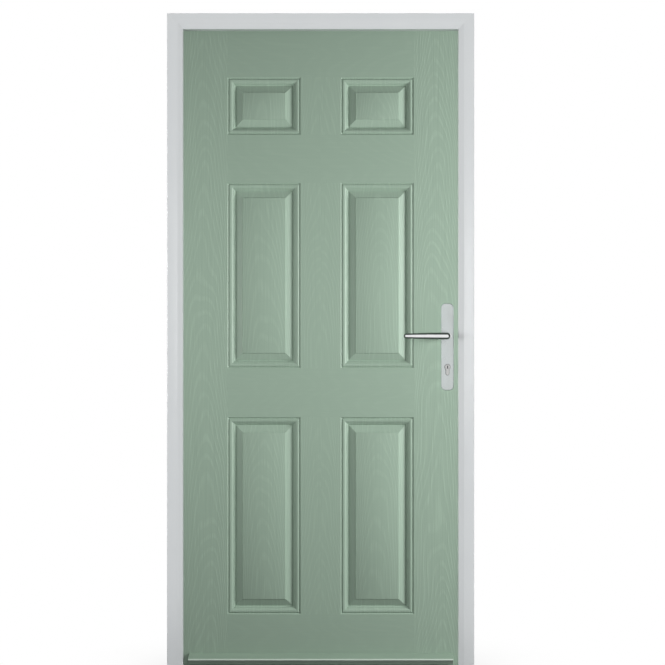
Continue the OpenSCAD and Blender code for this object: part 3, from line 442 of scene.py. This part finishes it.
def pressed_skin(node, name, outward):
    """A sheet cut at the panels' edges, each panel inset step by step along the moulding's section."""
    low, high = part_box(node)
    face_y = low.y if outward < 0 else high.y
    bpy.ops.object.select_all(action="DESELECT")
    bpy.ops.mesh.primitive_plane_add(size=1, location=(0, face_y, (low.z + high.z) / 2),
                                     rotation=(-outward * math.pi / 2, 0, 0))
    skin = bpy.context.object
    skin.name = name
    skin.scale = (high.x - low.x, high.z - low.z, 1)
    bpy.ops.object.transform_apply(location=True, rotation=True, scale=True)
    bpy.ops.object.mode_set(mode="EDIT")
    for x in (-stile_from, -mullion_half, mullion_half, stile_from):
        bpy.ops.mesh.select_all(action="SELECT")
        bpy.ops.mesh.bisect(plane_co=(x, 0, 0), plane_no=(1, 0, 0))
    for z in sum(panel_rows, ()):
        bpy.ops.mesh.select_all(action="SELECT")
        bpy.ops.mesh.bisect(plane_co=(0, 0, z), plane_no=(0, 0, 1))
    bpy.ops.mesh.select_mode(type="FACE")
    bpy.ops.mesh.select_all(action="DESELECT")
    mesh = bmesh.from_edit_mesh(skin.data)
    for face in mesh.faces:
        face.select_set(in_panel(face.calc_center_median()))
    bmesh.update_edit_mesh(skin.data)
    inset, depth = 0.0, 0.0
    for next_inset, next_depth in moulding_section():
        bpy.ops.mesh.inset(thickness=next_inset - inset, depth=depth - next_depth)
        inset, depth = next_inset, next_depth
    bpy.ops.object.mode_set(mode="OBJECT")
    wall = skin.modifiers.new("wall", "SOLIDIFY")
    wall.thickness = skin_thick
    wall.offset = -1
    bpy.ops.object.modifier_apply(modifier="wall")
    return skin


def cylinder_hole(piece, room):
    """The keyhole-shaped hole that the cylinder goes through."""
    low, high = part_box("cylinder_body")
    barrel = (high.x - low.x) / 2
    middle = (low.x + high.x) / 2
    half_tail = cylinder_tail + room
    cut(piece, round_cutter((middle, 0, high.z - barrel), barrel + room, through))
    cut(piece, round_cutter((middle, 0, low.z + cylinder_tail), half_tail, through))
    cut(piece, box_cutter((middle - half_tail, -through / 2, low.z + cylinder_tail),
                          (middle + half_tail, through / 2, high.z - barrel)))


def bolt_places():
    """The middles of the two handle bolts, and the radius of their heads."""
    low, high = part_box("handle_bolts")
    radius = (high.x - low.x) / 2
    return [((low.x + high.x) / 2, 0, z) for z in (low.z + radius, high.z - radius)], radius


def lever_place():
    low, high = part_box("spindle")
    return ((low.x + high.x) / 2, 0, (low.z + high.z) / 2)


def drill(skin):
    """Holes for the lever's neck, the handle's bolts and the cylinder."""
    cut(skin, round_cutter(lever_place(), neck_clear, through))
    for place in bolt_places()[0]:
        cut(skin, round_cutter(place, bolt_clear, through))
    cylinder_hole(skin, hole_room)


def notch_hinges(skin):
    """Takes the hinge plates' places out of the inner skin's edge."""
    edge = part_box("inner_skin")[0].x
    for height in ("upper", "middle", "lower"):
        low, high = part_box(height + "_hinge_door_leaf")
        cut(skin, box_cutter((edge - beyond, 0, low.z), (edge + notch_deep, through / 2, high.z)))


def grain_marks(skin):
    """How strongly each face shows the figure, and whether its grain runs across."""
    figure = skin.data.attributes.new("figure", "FLOAT", "FACE")
    across = skin.data.attributes.new("across", "FLOAT", "FACE")
    for face in skin.data.polygons:
        middle = face.center
        aside = abs(middle.x)
        in_row = any(low < middle.z < high for low, high in panel_rows)
        if aside > stile_from:
            strength = figure_on_stile
        elif in_panel(middle):
            strength = figure_on_panel
        elif in_row:
            strength = figure_on_mullion
        else:
            strength = figure_on_rail
        figure.data[face.index].value = strength
        across.data[face.index].value = float(aside < stile_from and not in_row)


def calculate(tree, operation, first, second):
    """One sum on two sockets or numbers."""
    node = tree.nodes.new("ShaderNodeMath")
    node.operation = operation
    for value, socket in zip((first, second), node.inputs):
        if isinstance(value, (int, float)):
            socket.default_value = value
        else:
            tree.links.new(value, socket)
    return node.outputs["Value"]


def sage_paint():
    """Embossed grain: rings that arch along the middle of each board, broken by fine fibres."""
    material, tree, shader, place = finish("sage_paint", leaf_green, 0.42)
    shader.inputs["Specular IOR Level"].default_value = 0.5
    axes = tree.nodes.new("ShaderNodeSeparateXYZ")
    tree.links.new(place, axes.inputs["Vector"])
    marks = {}
    for name in ("figure", "across"):
        node = tree.nodes.new("ShaderNodeAttribute")
        node.attribute_name = name
        marks[name] = node.outputs["Fac"]
    side = calculate(tree, "ABSOLUTE", axes.outputs["X"], 0)
    hand = calculate(tree, "SIGN", axes.outputs["X"], 0)
    board = tree.nodes.new("ShaderNodeValToRGB")
    board.color_ramp.interpolation = "CONSTANT"
    stile_centre = (stile_from + leaf_half) / 2
    board.color_ramp.elements[0].color = (0, 0, 0, 1)
    board.color_ramp.elements[1].position = mullion_half / leaf_half
    board.color_ramp.elements[1].color = (panel_centre, panel_centre, panel_centre, 1)
    stile = board.color_ramp.elements.new(stile_from / leaf_half)
    stile.color = (stile_centre, stile_centre, stile_centre, 1)
    tree.links.new(calculate(tree, "DIVIDE", side, leaf_half), board.inputs["Fac"])
    centre = board.outputs["Color"]
    aside = calculate(tree, "DIVIDE", calculate(tree, "SUBTRACT", side, centre), half_board)
    along = tree.nodes.new("ShaderNodeCombineXYZ")
    swap = tree.nodes.new("ShaderNodeMix")
    swap.data_type = "VECTOR"
    tree.links.new(axes.outputs["X"], along.inputs["Z"])
    tree.links.new(axes.outputs["Z"], along.inputs["X"])
    tree.links.new(marks["across"], swap.inputs[0])
    tree.links.new(place, swap.inputs[4])
    tree.links.new(along.outputs["Vector"], swap.inputs[5])
    run = swap.outputs[1]
    drift = noise(tree, run, (5, 0, 1.3), detail=2)
    upright = calculate(tree, "SUBTRACT", 1.0, marks["across"])
    arch = calculate(tree, "MULTIPLY", calculate(tree, "MULTIPLY", aside, aside), upright)
    run_axes = tree.nodes.new("ShaderNodeSeparateXYZ")
    tree.links.new(run, run_axes.inputs["Vector"])
    ring = calculate(tree, "MULTIPLY", run_axes.outputs["Z"], rings_to_metre)
    ring = calculate(tree, "ADD", ring, calculate(tree, "MULTIPLY", arch, rings_in_arch))
    ring = calculate(tree, "ADD", ring, calculate(tree, "MULTIPLY", drift, rings_in_drift))
    ring = calculate(tree, "ADD", ring, calculate(tree, "MULTIPLY", hand, hand_shift))
    ring = calculate(tree, "ADD", ring, calculate(tree, "MULTIPLY", centre, board_shift))
    wave = calculate(tree, "SINE", calculate(tree, "MULTIPLY", ring, 2 * math.pi), 0)
    line = spread(tree, wave, 0, 1, 0.1, 1.0)
    fibre = noise(tree, run, (420, 0, 8), detail=3)
    strand = spread(tree, fibre, 0, 1, 0.35, 0.65)
    bundle = spread(tree, noise(tree, run, (150, 0, 5), detail=2), 0, 1, 0.38, 0.62)
    broken = calculate(tree, "MULTIPLY", line, calculate(tree, "MAXIMUM", strand, bundle))
    fibres = calculate(tree, "MULTIPLY", calculate(tree, "ADD", strand, bundle), fibre_share)
    height = calculate(tree, "ADD", calculate(tree, "MULTIPLY", broken, ring_share), fibres)
    grain = calculate(tree, "MULTIPLY", height, marks["figure"])
    tint(tree, shader, grain, leaf_green, leaf_pale)
    tree.links.new(spread(tree, fibre, 0.44, 0.52), shader.inputs["Roughness"])
    relief(tree, shader, grain, grain_deep)
    return material


leaf_finish = sage_paint()
for side, outward in (("outer", -1), ("inner", 1)):
    skin = pressed_skin(side + "_skin", "pressed_skin_" + side, outward)
    drill(skin)
    if side == "inner":
        notch_hinges(skin)
    grain_marks(skin)
    select_only(skin)
    bpy.ops.object.shade_smooth_by_angle(angle=skin_smooth)
    hand_over(skin, "leaf", "leaf_green", leaf_finish, side + "_skin")


# Weather bar across the leaf's foot: a hollow aluminium extrusion with two end caps, fixed to the outer skin
# and sprayed with the leaf's sage paint, without the grain.
bar_green = (0.275, 0.37, 0.29)
bar_deep = (0.25, 0.335, 0.265)
# The pale band along the lip is a painted highlight
lip_painted_highlight = (0.6, 0.71, 0.62)
lip_in = 0.0017
lip_fade = 0.0004
bar_edge = 0.0006
bar_edge_from = 0.002


def blend(tree, shader, factor, colour):
    """The base colour gives way to another where the factor is one."""
    paint = shader.inputs["Base Color"].links[0].from_socket
    node = tree.nodes.new("ShaderNodeMix")
    node.data_type = "RGBA"
    node.inputs[7].default_value = (*colour, 1.0)
    tree.links.new(factor, node.inputs[0])
    tree.links.new(paint, node.inputs[6])
    tree.links.new(node.outputs[2], shader.inputs["Base Color"])


def sprayed():
    """Even paint, with a painted highlight as a pale band along the lip."""
    material, tree, shader, place = finish("sprayed_sage", bar_green, 0.36)
    tint(tree, shader, spread(tree, noise(tree, place, (4, 20, 20)), 0, 1), bar_deep, bar_green)
    axes = tree.nodes.new("ShaderNodeSeparateXYZ")
    tree.links.new(place, axes.inputs["Vector"])
    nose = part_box("weather_bar")[0].y
    # Painted highlight along the lip
    painted_highlight = spread(tree, axes.outputs["Y"], 1, 0, nose + lip_in - lip_fade, nose + lip_in)
    blend(tree, shader, painted_highlight, lip_painted_highlight)
    relief(tree, shader, noise(tree, place, (500, 500, 500), detail=2), 0.00004)
    return material


bar_finish = sprayed()
for node in ("weather_bar", "weather_bar_caps"):
    bar = merged_copy(node, node + "_sprayed")
    soften(bar, bar_edge, bar_edge_from)
    hand_over(bar, "leaf", "leaf_green", bar_finish, node)


# Lock in the leaf's edge: zinc-plated cases, a flat drive rail, a wedge latch, a square bolt and two hooks.
# The working pieces are hardened steel with ground faces; the hubs on the spindle are cast brass.
lock_pale = (0.6, 0.6, 0.61)
lock_dark = (0.42, 0.42, 0.44)
brass_pale = (0.72, 0.55, 0.27)
brass_dark = (0.55, 0.4, 0.18)
bolt_edge = 0.0006
lock_finish = brushed("ground_lock_steel", lock_pale, lock_dark, "x", 0.3)
for node, body in (("latch_bolt", "latch"), ("dead_bolt", "dead_bolt"), ("upper_hook", "upper_hook"),
                   ("lower_hook", "lower_hook")):
    bolt = merged_copy(node, node + "_ground")
    soften(bolt, bolt_edge)
    hand_over(bolt, body, "lock_steel", lock_finish, node)
dress(lock_finish, "gearbox_case", "gearbox_cover", "upper_hook_case", "lower_hook_case", "drive_rail",
      "cylinder_cam", "spindle")
dress(brushed("cast_brass", brass_pale, brass_dark, "y", 0.38), "lift_cam", "latch_follower")


# Handles: a long domed plate and a round tapered lever on each face, cast in zinc and chrome plated.
# Two bolts from the room side clamp the plates together through the leaf.
chrome_pale = (0.88, 0.89, 0.89)
chrome_dark = (0.82, 0.83, 0.84)
satin_pale = (0.6, 0.64, 0.64)
satin_dark = (0.55, 0.59, 0.58)
# Painted dark reflection on the lever's top, underside and ends, faded in as its faces turn from front and
# back
painted_reflection_dark = (0.16, 0.18, 0.17)
reflection_fade_from = 0.95
reflection_fade_full = 0.88
leaf_face = 0.022
plate_wall = 0.007
plate_corner = 0.014
corner_steps = 12
plate_swell = ((0.0005, 0.0009), (0.0006, 0.0007), (0.001, 0.0006), (0.0018, 0.0005), (0.0031, 0.0003))
collar_round = 0.0115
neck_hole = 0.00905
hole_round = 0.0012
rim_beside = 0.012
rim_above = 0.004
pocket_middle = 0.0105
pocket_deep = 0.006
pocket_room = 0.0001
handle_edge = 0.0005
lever_edge = 0.0004
bolt_rim = 0.0001
recess_long = 0.0056
recess_wide = 0.0011
recess_deep = 0.0014


def fuse(piece, boss):
    """Joins a boss onto the piece."""
    select_only(piece)
    modifier = piece.modifiers.new("fuse", "BOOLEAN")
    modifier.operation = "UNION"
    modifier.solver = "EXACT"
    modifier.object = boss
    bpy.ops.object.modifier_apply(modifier="fuse")
    bpy.data.objects.remove(boss)


def round_keyhole(plate):
    """Rounds the front rim of the cylinder's hole."""
    low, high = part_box("cylinder_body")
    select_only(plate)
    bpy.ops.object.mode_set(mode="EDIT")
    bpy.ops.mesh.select_mode(type="EDGE")
    bpy.ops.mesh.select_all(action="DESELECT")
    mesh = bmesh.from_edit_mesh(plate.data)
    for edge in mesh.edges:
        middle = (edge.verts[0].co + edge.verts[1].co) / 2
        sharp = edge.is_convex and edge.calc_face_angle(0.0) > sharp_angle
        beside = abs(middle.x - (low.x + high.x) / 2) < rim_beside
        level = low.z - rim_above < middle.z < high.z + rim_above
        edge.select_set(sharp and beside and level and abs(middle.y) > leaf_face + plate_wall)
    bmesh.update_edit_mesh(plate.data)
    bpy.ops.mesh.bevel(offset=hole_round, segments=3, affect="EDGES", clamp_overlap=False)
    bpy.ops.object.mode_set(mode="OBJECT")


def handle_plate(side, outward):
    """A bar with round corners, its face swelled ring by ring, with a collar, a bore and the keyhole."""
    low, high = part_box(side + "_backplate")
    lever_x, _, lever_z = lever_place()
    bpy.ops.object.select_all(action="DESELECT")
    bpy.ops.mesh.primitive_cube_add(size=1, location=(lever_x, outward * (leaf_face + plate_wall / 2),
                                                      (low.z + high.z) / 2))
    plate = bpy.context.object
    plate.name = side + "_handle_plate"
    plate.scale = (high.x - low.x, plate_wall, high.z - low.z)
    bpy.ops.object.transform_apply(location=True, rotation=False, scale=True)
    bpy.ops.object.mode_set(mode="EDIT")
    bpy.ops.mesh.select_mode(type="EDGE")
    bpy.ops.mesh.select_all(action="DESELECT")
    mesh = bmesh.from_edit_mesh(plate.data)
    for edge in mesh.edges:
        edge.select_set(abs(edge.verts[0].co.y - edge.verts[1].co.y) > plate_wall / 2)
    bmesh.update_edit_mesh(plate.data)
    bpy.ops.mesh.bevel(offset=plate_corner, segments=corner_steps, affect="EDGES")
    bpy.ops.mesh.select_mode(type="FACE")
    bpy.ops.mesh.select_all(action="DESELECT")
    mesh = bmesh.from_edit_mesh(plate.data)
    for face in mesh.faces:
        face.select_set(face.normal.y * outward > 0.9)
    bmesh.update_edit_mesh(plate.data)
    for inward, lift in plate_swell:
        bpy.ops.mesh.inset(thickness=inward, depth=lift)
    bpy.ops.object.mode_set(mode="OBJECT")
    collar_end = max(abs(low.y), abs(high.y))
    collar_start = leaf_face + plate_wall / 2
    fuse(plate, round_cutter((lever_x, outward * (collar_start + collar_end) / 2, lever_z), collar_round,
                             collar_end - collar_start))
    cut(plate, round_cutter(lever_place(), neck_hole, through))
    cylinder_hole(plate, hole_room / 2)
    round_keyhole(plate)
    if outward > 0:
        places, head = bolt_places()
        for x, _, z in places:
            cut(plate, round_cutter((x, leaf_face + pocket_middle, z), head + pocket_room, pocket_deep))
    return plate


def mark_painted_reflection(lever):
    """Marks the lever's top, underside and ends for a painted dark reflection; front and back stay bright.
    """
    painted_reflection = lever.data.attributes.new("painted_reflection", "FLOAT", "POINT")
    for vertex in lever.data.vertices:
        facing = abs(vertex.normal.y)
        share = (reflection_fade_from - facing) / (reflection_fade_from - reflection_fade_full)
        painted_reflection.data[vertex.index].value = min(max(share, 0.0), 1.0)


def plated(name, pale, dark, roughness):
    """Cast metal plated over a polish, faintly uneven, with a painted dark reflection where a piece is
    marked.
    """
    material, tree, shader, place = finish(name, pale, roughness, 1.0)
    tint(tree, shader, spread(tree, noise(tree, place, (30, 30, 12)), 0, 1), dark, pale)
    painted_reflection = tree.nodes.new("ShaderNodeAttribute")
    painted_reflection.attribute_name = "painted_reflection"
    # Painted dark reflection where the piece is marked
    blend(tree, shader, painted_reflection.outputs["Fac"], painted_reflection_dark)
    wiped = noise(tree, place, (45, 45, 25))
    tree.links.new(spread(tree, wiped, roughness * 0.85, roughness * 1.15), shader.inputs["Roughness"])
    relief(tree, shader, noise(tree, place, (90, 90, 60), detail=2), 0.00001)
    return material


lever_finish = plated("polished_chrome", chrome_pale, chrome_dark, 0.07)
handle_finish = plated("satin_chrome", satin_pale, satin_dark, 0.24)
for side, outward in (("outer", -1), ("inner", 1)):
    plate = handle_plate(side, outward)
    soften(plate, handle_edge)
    hand_over(plate, "leaf", "handle_chrome", handle_finish, side + "_backplate")
    lever = merged_copy(side + "_lever", side + "_lever_cast")
    soften(lever, lever_edge)
    # Marks the lever for its painted dark reflection
    mark_painted_reflection(lever)
    hand_over(lever, "lever_set", "handle_chrome", lever_finish, side + "_lever")
bolts = merged_copy("handle_bolts", "handle_bolts_turned")
head_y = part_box("handle_bolts")[1].y
for x, _, z in bolt_places()[0]:
    for across, up in ((recess_long, recess_wide), (recess_wide, recess_long)):
        cut(bolts, box_cutter((x - across / 2, head_y - recess_deep, z - up / 2),
                              (x + across / 2, head_y + recess_deep, z + up / 2)))
soften(bolts, bolt_rim)
hand_over(bolts, "leaf", "handle_chrome", handle_finish, "handle_bolts")


# Cylinder: a nickel-plated brass body with a key plug outside and a thumbturn inside.
# The plug shows its keyway; the turn is a flat grip with round ends.
nickel_pale = (0.62, 0.63, 0.62)
nickel_dark = (0.48, 0.49, 0.48)
# Painted shade in the keyway and round the cylinder's rim, behind its outer end
crevice_painted_shade = (0.05, 0.05, 0.048)
face_room = 0.0005
cylinder_edge = 0.0004


def nickel_plate(name, face):
    """Nickel, bright on the outer end, with painted shade behind it in the keyway and round the rim."""
    material = brushed(name, nickel_pale, nickel_dark, "z", 0.26)
    tree = material.node_tree
    shader = tree.nodes["Principled BSDF"]
    axes = tree.nodes.new("ShaderNodeSeparateXYZ")
    tree.links.new(tree.nodes.new("ShaderNodeTexCoord").outputs["Object"], axes.inputs["Vector"])
    behind = spread(tree, axes.outputs["Y"], 0, 1, face + face_room, face + 2 * face_room)
    ahead = spread(tree, axes.outputs["Y"], 1, 0, 0, face_room)
    # Painted shade behind the outer end
    blend(tree, shader, calculate(tree, "MULTIPLY", behind, ahead), crevice_painted_shade)
    return material


for node, body, slot in (("cylinder_body", "leaf", "handle_chrome"), ("key_plug", "cylinder", "cam_brass"),
                         ("thumbturn", "cylinder", "handle_chrome")):
    piece = merged_copy(node, node + "_plated")
    soften(piece, cylinder_edge)
    hand_over(piece, body, slot, nickel_plate(node + "_nickel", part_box(node)[0].y), node)


# Studio: a pale floor with a light shadow, and a white surround that mirrors show darker above and at right.
# The leaf has a strong lamp raking from the right, a weak one from the left, one in front and three behind.
# The frame has its own lamps all round, and it casts no shadow on the leaf from the sides.
floor_size = 24.0
floor_bounce = (0.15, 0.15, 0.15)
floor_near = 0.3
floor_far = 0.8
shadow_reach = 0.4
shadow_deepest = 0.7
floor_dark = 0.05
floor_bright = 0.95
closed_in = 0.4
opened_out = 0.97
room_light = 0.05
wall_ahead = 0.9
wall_left = 0.4
wall_dark = 0.05
wall_from = 0.15
wall_full = 0.6
bpy.ops.object.select_all(action="DESELECT")
bpy.ops.mesh.primitive_plane_add(size=floor_size, location=(0, 0, 0))
floor = bpy.context.object
floor.name = "studio_floor"


def seen(tree, shown, mirrored):
    """How much of the background a ray shows: straight from the camera, or mirrored or through glass."""
    path = tree.nodes.new("ShaderNodeLightPath").outputs
    bent = calculate(tree, "MAXIMUM", path["Is Glossy Ray"], path["Is Transmission Ray"])
    straight = calculate(tree, "MULTIPLY", path["Is Camera Ray"], shown)
    return calculate(tree, "MAXIMUM", straight, calculate(tree, "MULTIPLY", bent, mirrored))


def pale_floor():
    material = bpy.data.materials.new("pale_floor")
    material.use_nodes = True
    tree = material.node_tree
    shader = tree.nodes["Principled BSDF"]
    shader.inputs["Base Color"].default_value = (*floor_bounce, 1)
    shader.inputs["Roughness"].default_value = 0.9
    glow = tree.nodes.new("ShaderNodeEmission")
    # Ambient occlusion dims the floor's glow near the object: a painted shadow
    close_by = tree.nodes.new("ShaderNodeAmbientOcclusion")
    close_by.inputs["Distance"].default_value = shadow_reach
    open_share = spread(tree, close_by.outputs["AO"], shadow_deepest, 1.0, closed_in, opened_out)
    tree.links.new(open_share, glow.inputs["Strength"])
    axes = tree.nodes.new("ShaderNodeSeparateXYZ")
    tree.links.new(tree.nodes.new("ShaderNodeTexCoord").outputs["Object"], axes.inputs["Vector"])
    # In mirrors the floor shows dark close to the door: painted shade
    away = calculate(tree, "ABSOLUTE", axes.outputs["Y"], 0)
    mirrored = spread(tree, away, floor_dark, floor_bright, floor_near, floor_far)
    both = tree.nodes.new("ShaderNodeMixShader")
    tree.links.new(seen(tree, 1.0, mirrored), both.inputs[0])
    tree.links.new(shader.outputs["BSDF"], both.inputs[1])
    tree.links.new(glow.outputs["Emission"], both.inputs[2])
    tree.links.new(both.outputs["Shader"], tree.nodes["Material Output"].inputs["Surface"])
    return material


floor.data.materials.append(pale_floor())
scene = bpy.context.scene
scene.world = bpy.data.worlds.new("white_surround")
scene.world.use_nodes = True
sky = scene.world.node_tree
light = sky.nodes["Background"]
light.inputs["Color"].default_value = (1.0, 1.0, 1.0, 1)
light.inputs["Strength"].default_value = room_light
white = sky.nodes.new("ShaderNodeBackground")
white.inputs["Strength"].default_value = 1.0
white.inputs["Color"].default_value = (1, 1, 1, 1)
aim = sky.nodes.new("ShaderNodeSeparateXYZ")
sky.links.new(sky.nodes.new("ShaderNodeTexCoord").outputs["Generated"], aim.inputs["Vector"])
ahead = calculate(sky, "ABSOLUTE", aim.outputs["Y"], 0)
leftward = calculate(sky, "SUBTRACT", calculate(sky, "MULTIPLY", ahead, wall_ahead),
                     calculate(sky, "MULTIPLY", aim.outputs["X"], wall_left))
mirrored_wall = spread(sky, leftward, wall_dark, 1.0, wall_from, wall_full)
choice = sky.nodes.new("ShaderNodeMixShader")
sky.links.new(seen(sky, 1.0, mirrored_wall), choice.inputs[0])
sky.links.new(light.outputs["Background"], choice.inputs[1])
sky.links.new(white.outputs["Background"], choice.inputs[2])
sky.links.new(choice.outputs["Shader"], sky.nodes["World Output"].inputs["Surface"])


def soft_lamp(name, place, target, size, power):
    bpy.ops.object.light_add(type="AREA", location=place)
    lamp = bpy.context.object
    lamp.name = name
    lamp.data.size = size
    lamp.data.energy = power
    lamp.rotation_euler = (Vector(target) - Vector(place)).to_track_quat("-Z", "Y").to_euler()


soft_lamp("side_right", (2.5, -1.0, 1.25), (0, 0, 1.2), 1.0, 88)
soft_lamp("front", (0.1, -1.57, 1.2), (0, 0, 1.1), 0.6, 6.5)
soft_lamp("side_left", (-1.5, -0.6, 1.2), (0, 0, 1.1), 0.5, 8)
soft_lamp("back_right", (2.5, 1.0, 1.25), (0, 0, 1.2), 1.0, 24)
soft_lamp("back_left", (-2.5, 1.0, 1.25), (0, 0, 1.2), 1.0, 36)
soft_lamp("back", (0.1, 2.4, 1.3), (0, 0, 1.1), 0.8, 24)
soft_lamp("frame_front", (0.4, -4.2, 1.3), (0, 0, 1.1), 1.2, 80)
soft_lamp("frame_right", (3.5, -1.2, 1.3), (0, 0, 1.1), 1.2, 70)
soft_lamp("frame_left", (-3.5, -1.2, 1.3), (0, 0, 1.1), 1.2, 60)
soft_lamp("frame_back", (-0.4, 4.2, 1.3), (0, 0, 1.1), 1.2, 130)
soft_lamp("frame_top", (0.2, -0.2, 4.6), (0, 0, 2.0), 1.2, 45)
for lamp in ("front", "back", "frame_front", "frame_right", "frame_back", "frame_top"):
    bpy.data.objects[lamp].visible_glossy = False


def link_lamp(lamp, link, state, pieces):
    """The pieces that a lamp reaches or leaves out, or that cast no shadow from it."""
    group = bpy.data.collections.new(lamp + "_" + link)
    setattr(bpy.data.objects[lamp].light_linking, link, group)
    for piece in pieces:
        group.objects.link(piece)
    for member in group.collection_objects:
        member.light_linking.link_state = state


# The side lamps leave out the frame and the handle
handle = [bpy.data.objects[side + "_handle_plate"] for side in ("outer", "inner")]
handle += [bpy.data.objects[side + "_lever_cast"] for side in ("outer", "inner")]
handle += [bpy.data.objects[node + "_plated"] for node in ("cylinder_body", "key_plug", "thumbturn")]
profiles = [bpy.data.objects[member + "_profile"] for member in ("hinge_jamb", "lock_jamb", "frame_head")]
inside = [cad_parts[member + "_steel"] for member in ("hinge_jamb", "lock_jamb", "head")]
inside.append(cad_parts["frame_gasket"])
for lamp in ("side_right", "side_left"):
    link_lamp(lamp, "receiver_collection", "EXCLUDE", handle + profiles)
    link_lamp(lamp, "blocker_collection", "EXCLUDE", handle + profiles + inside)
for lamp in ("front", "back", "back_right", "back_left"):
    link_lamp(lamp, "receiver_collection", "EXCLUDE", profiles)
for lamp in ("frame_front", "frame_right", "frame_left", "frame_back", "frame_top"):
    link_lamp(lamp, "receiver_collection", "INCLUDE", profiles)

camera_place = (0.0365, -3.252, 1.0607)
camera_sensor = 36
camera_lens = 56.4
bpy.ops.object.camera_add(location=camera_place, rotation=(math.pi / 2, 0, 0))
scene.camera = bpy.context.object
scene.camera.data.sensor_width = camera_sensor
scene.camera.data.lens = camera_lens
scene.view_settings.view_transform = "Standard"
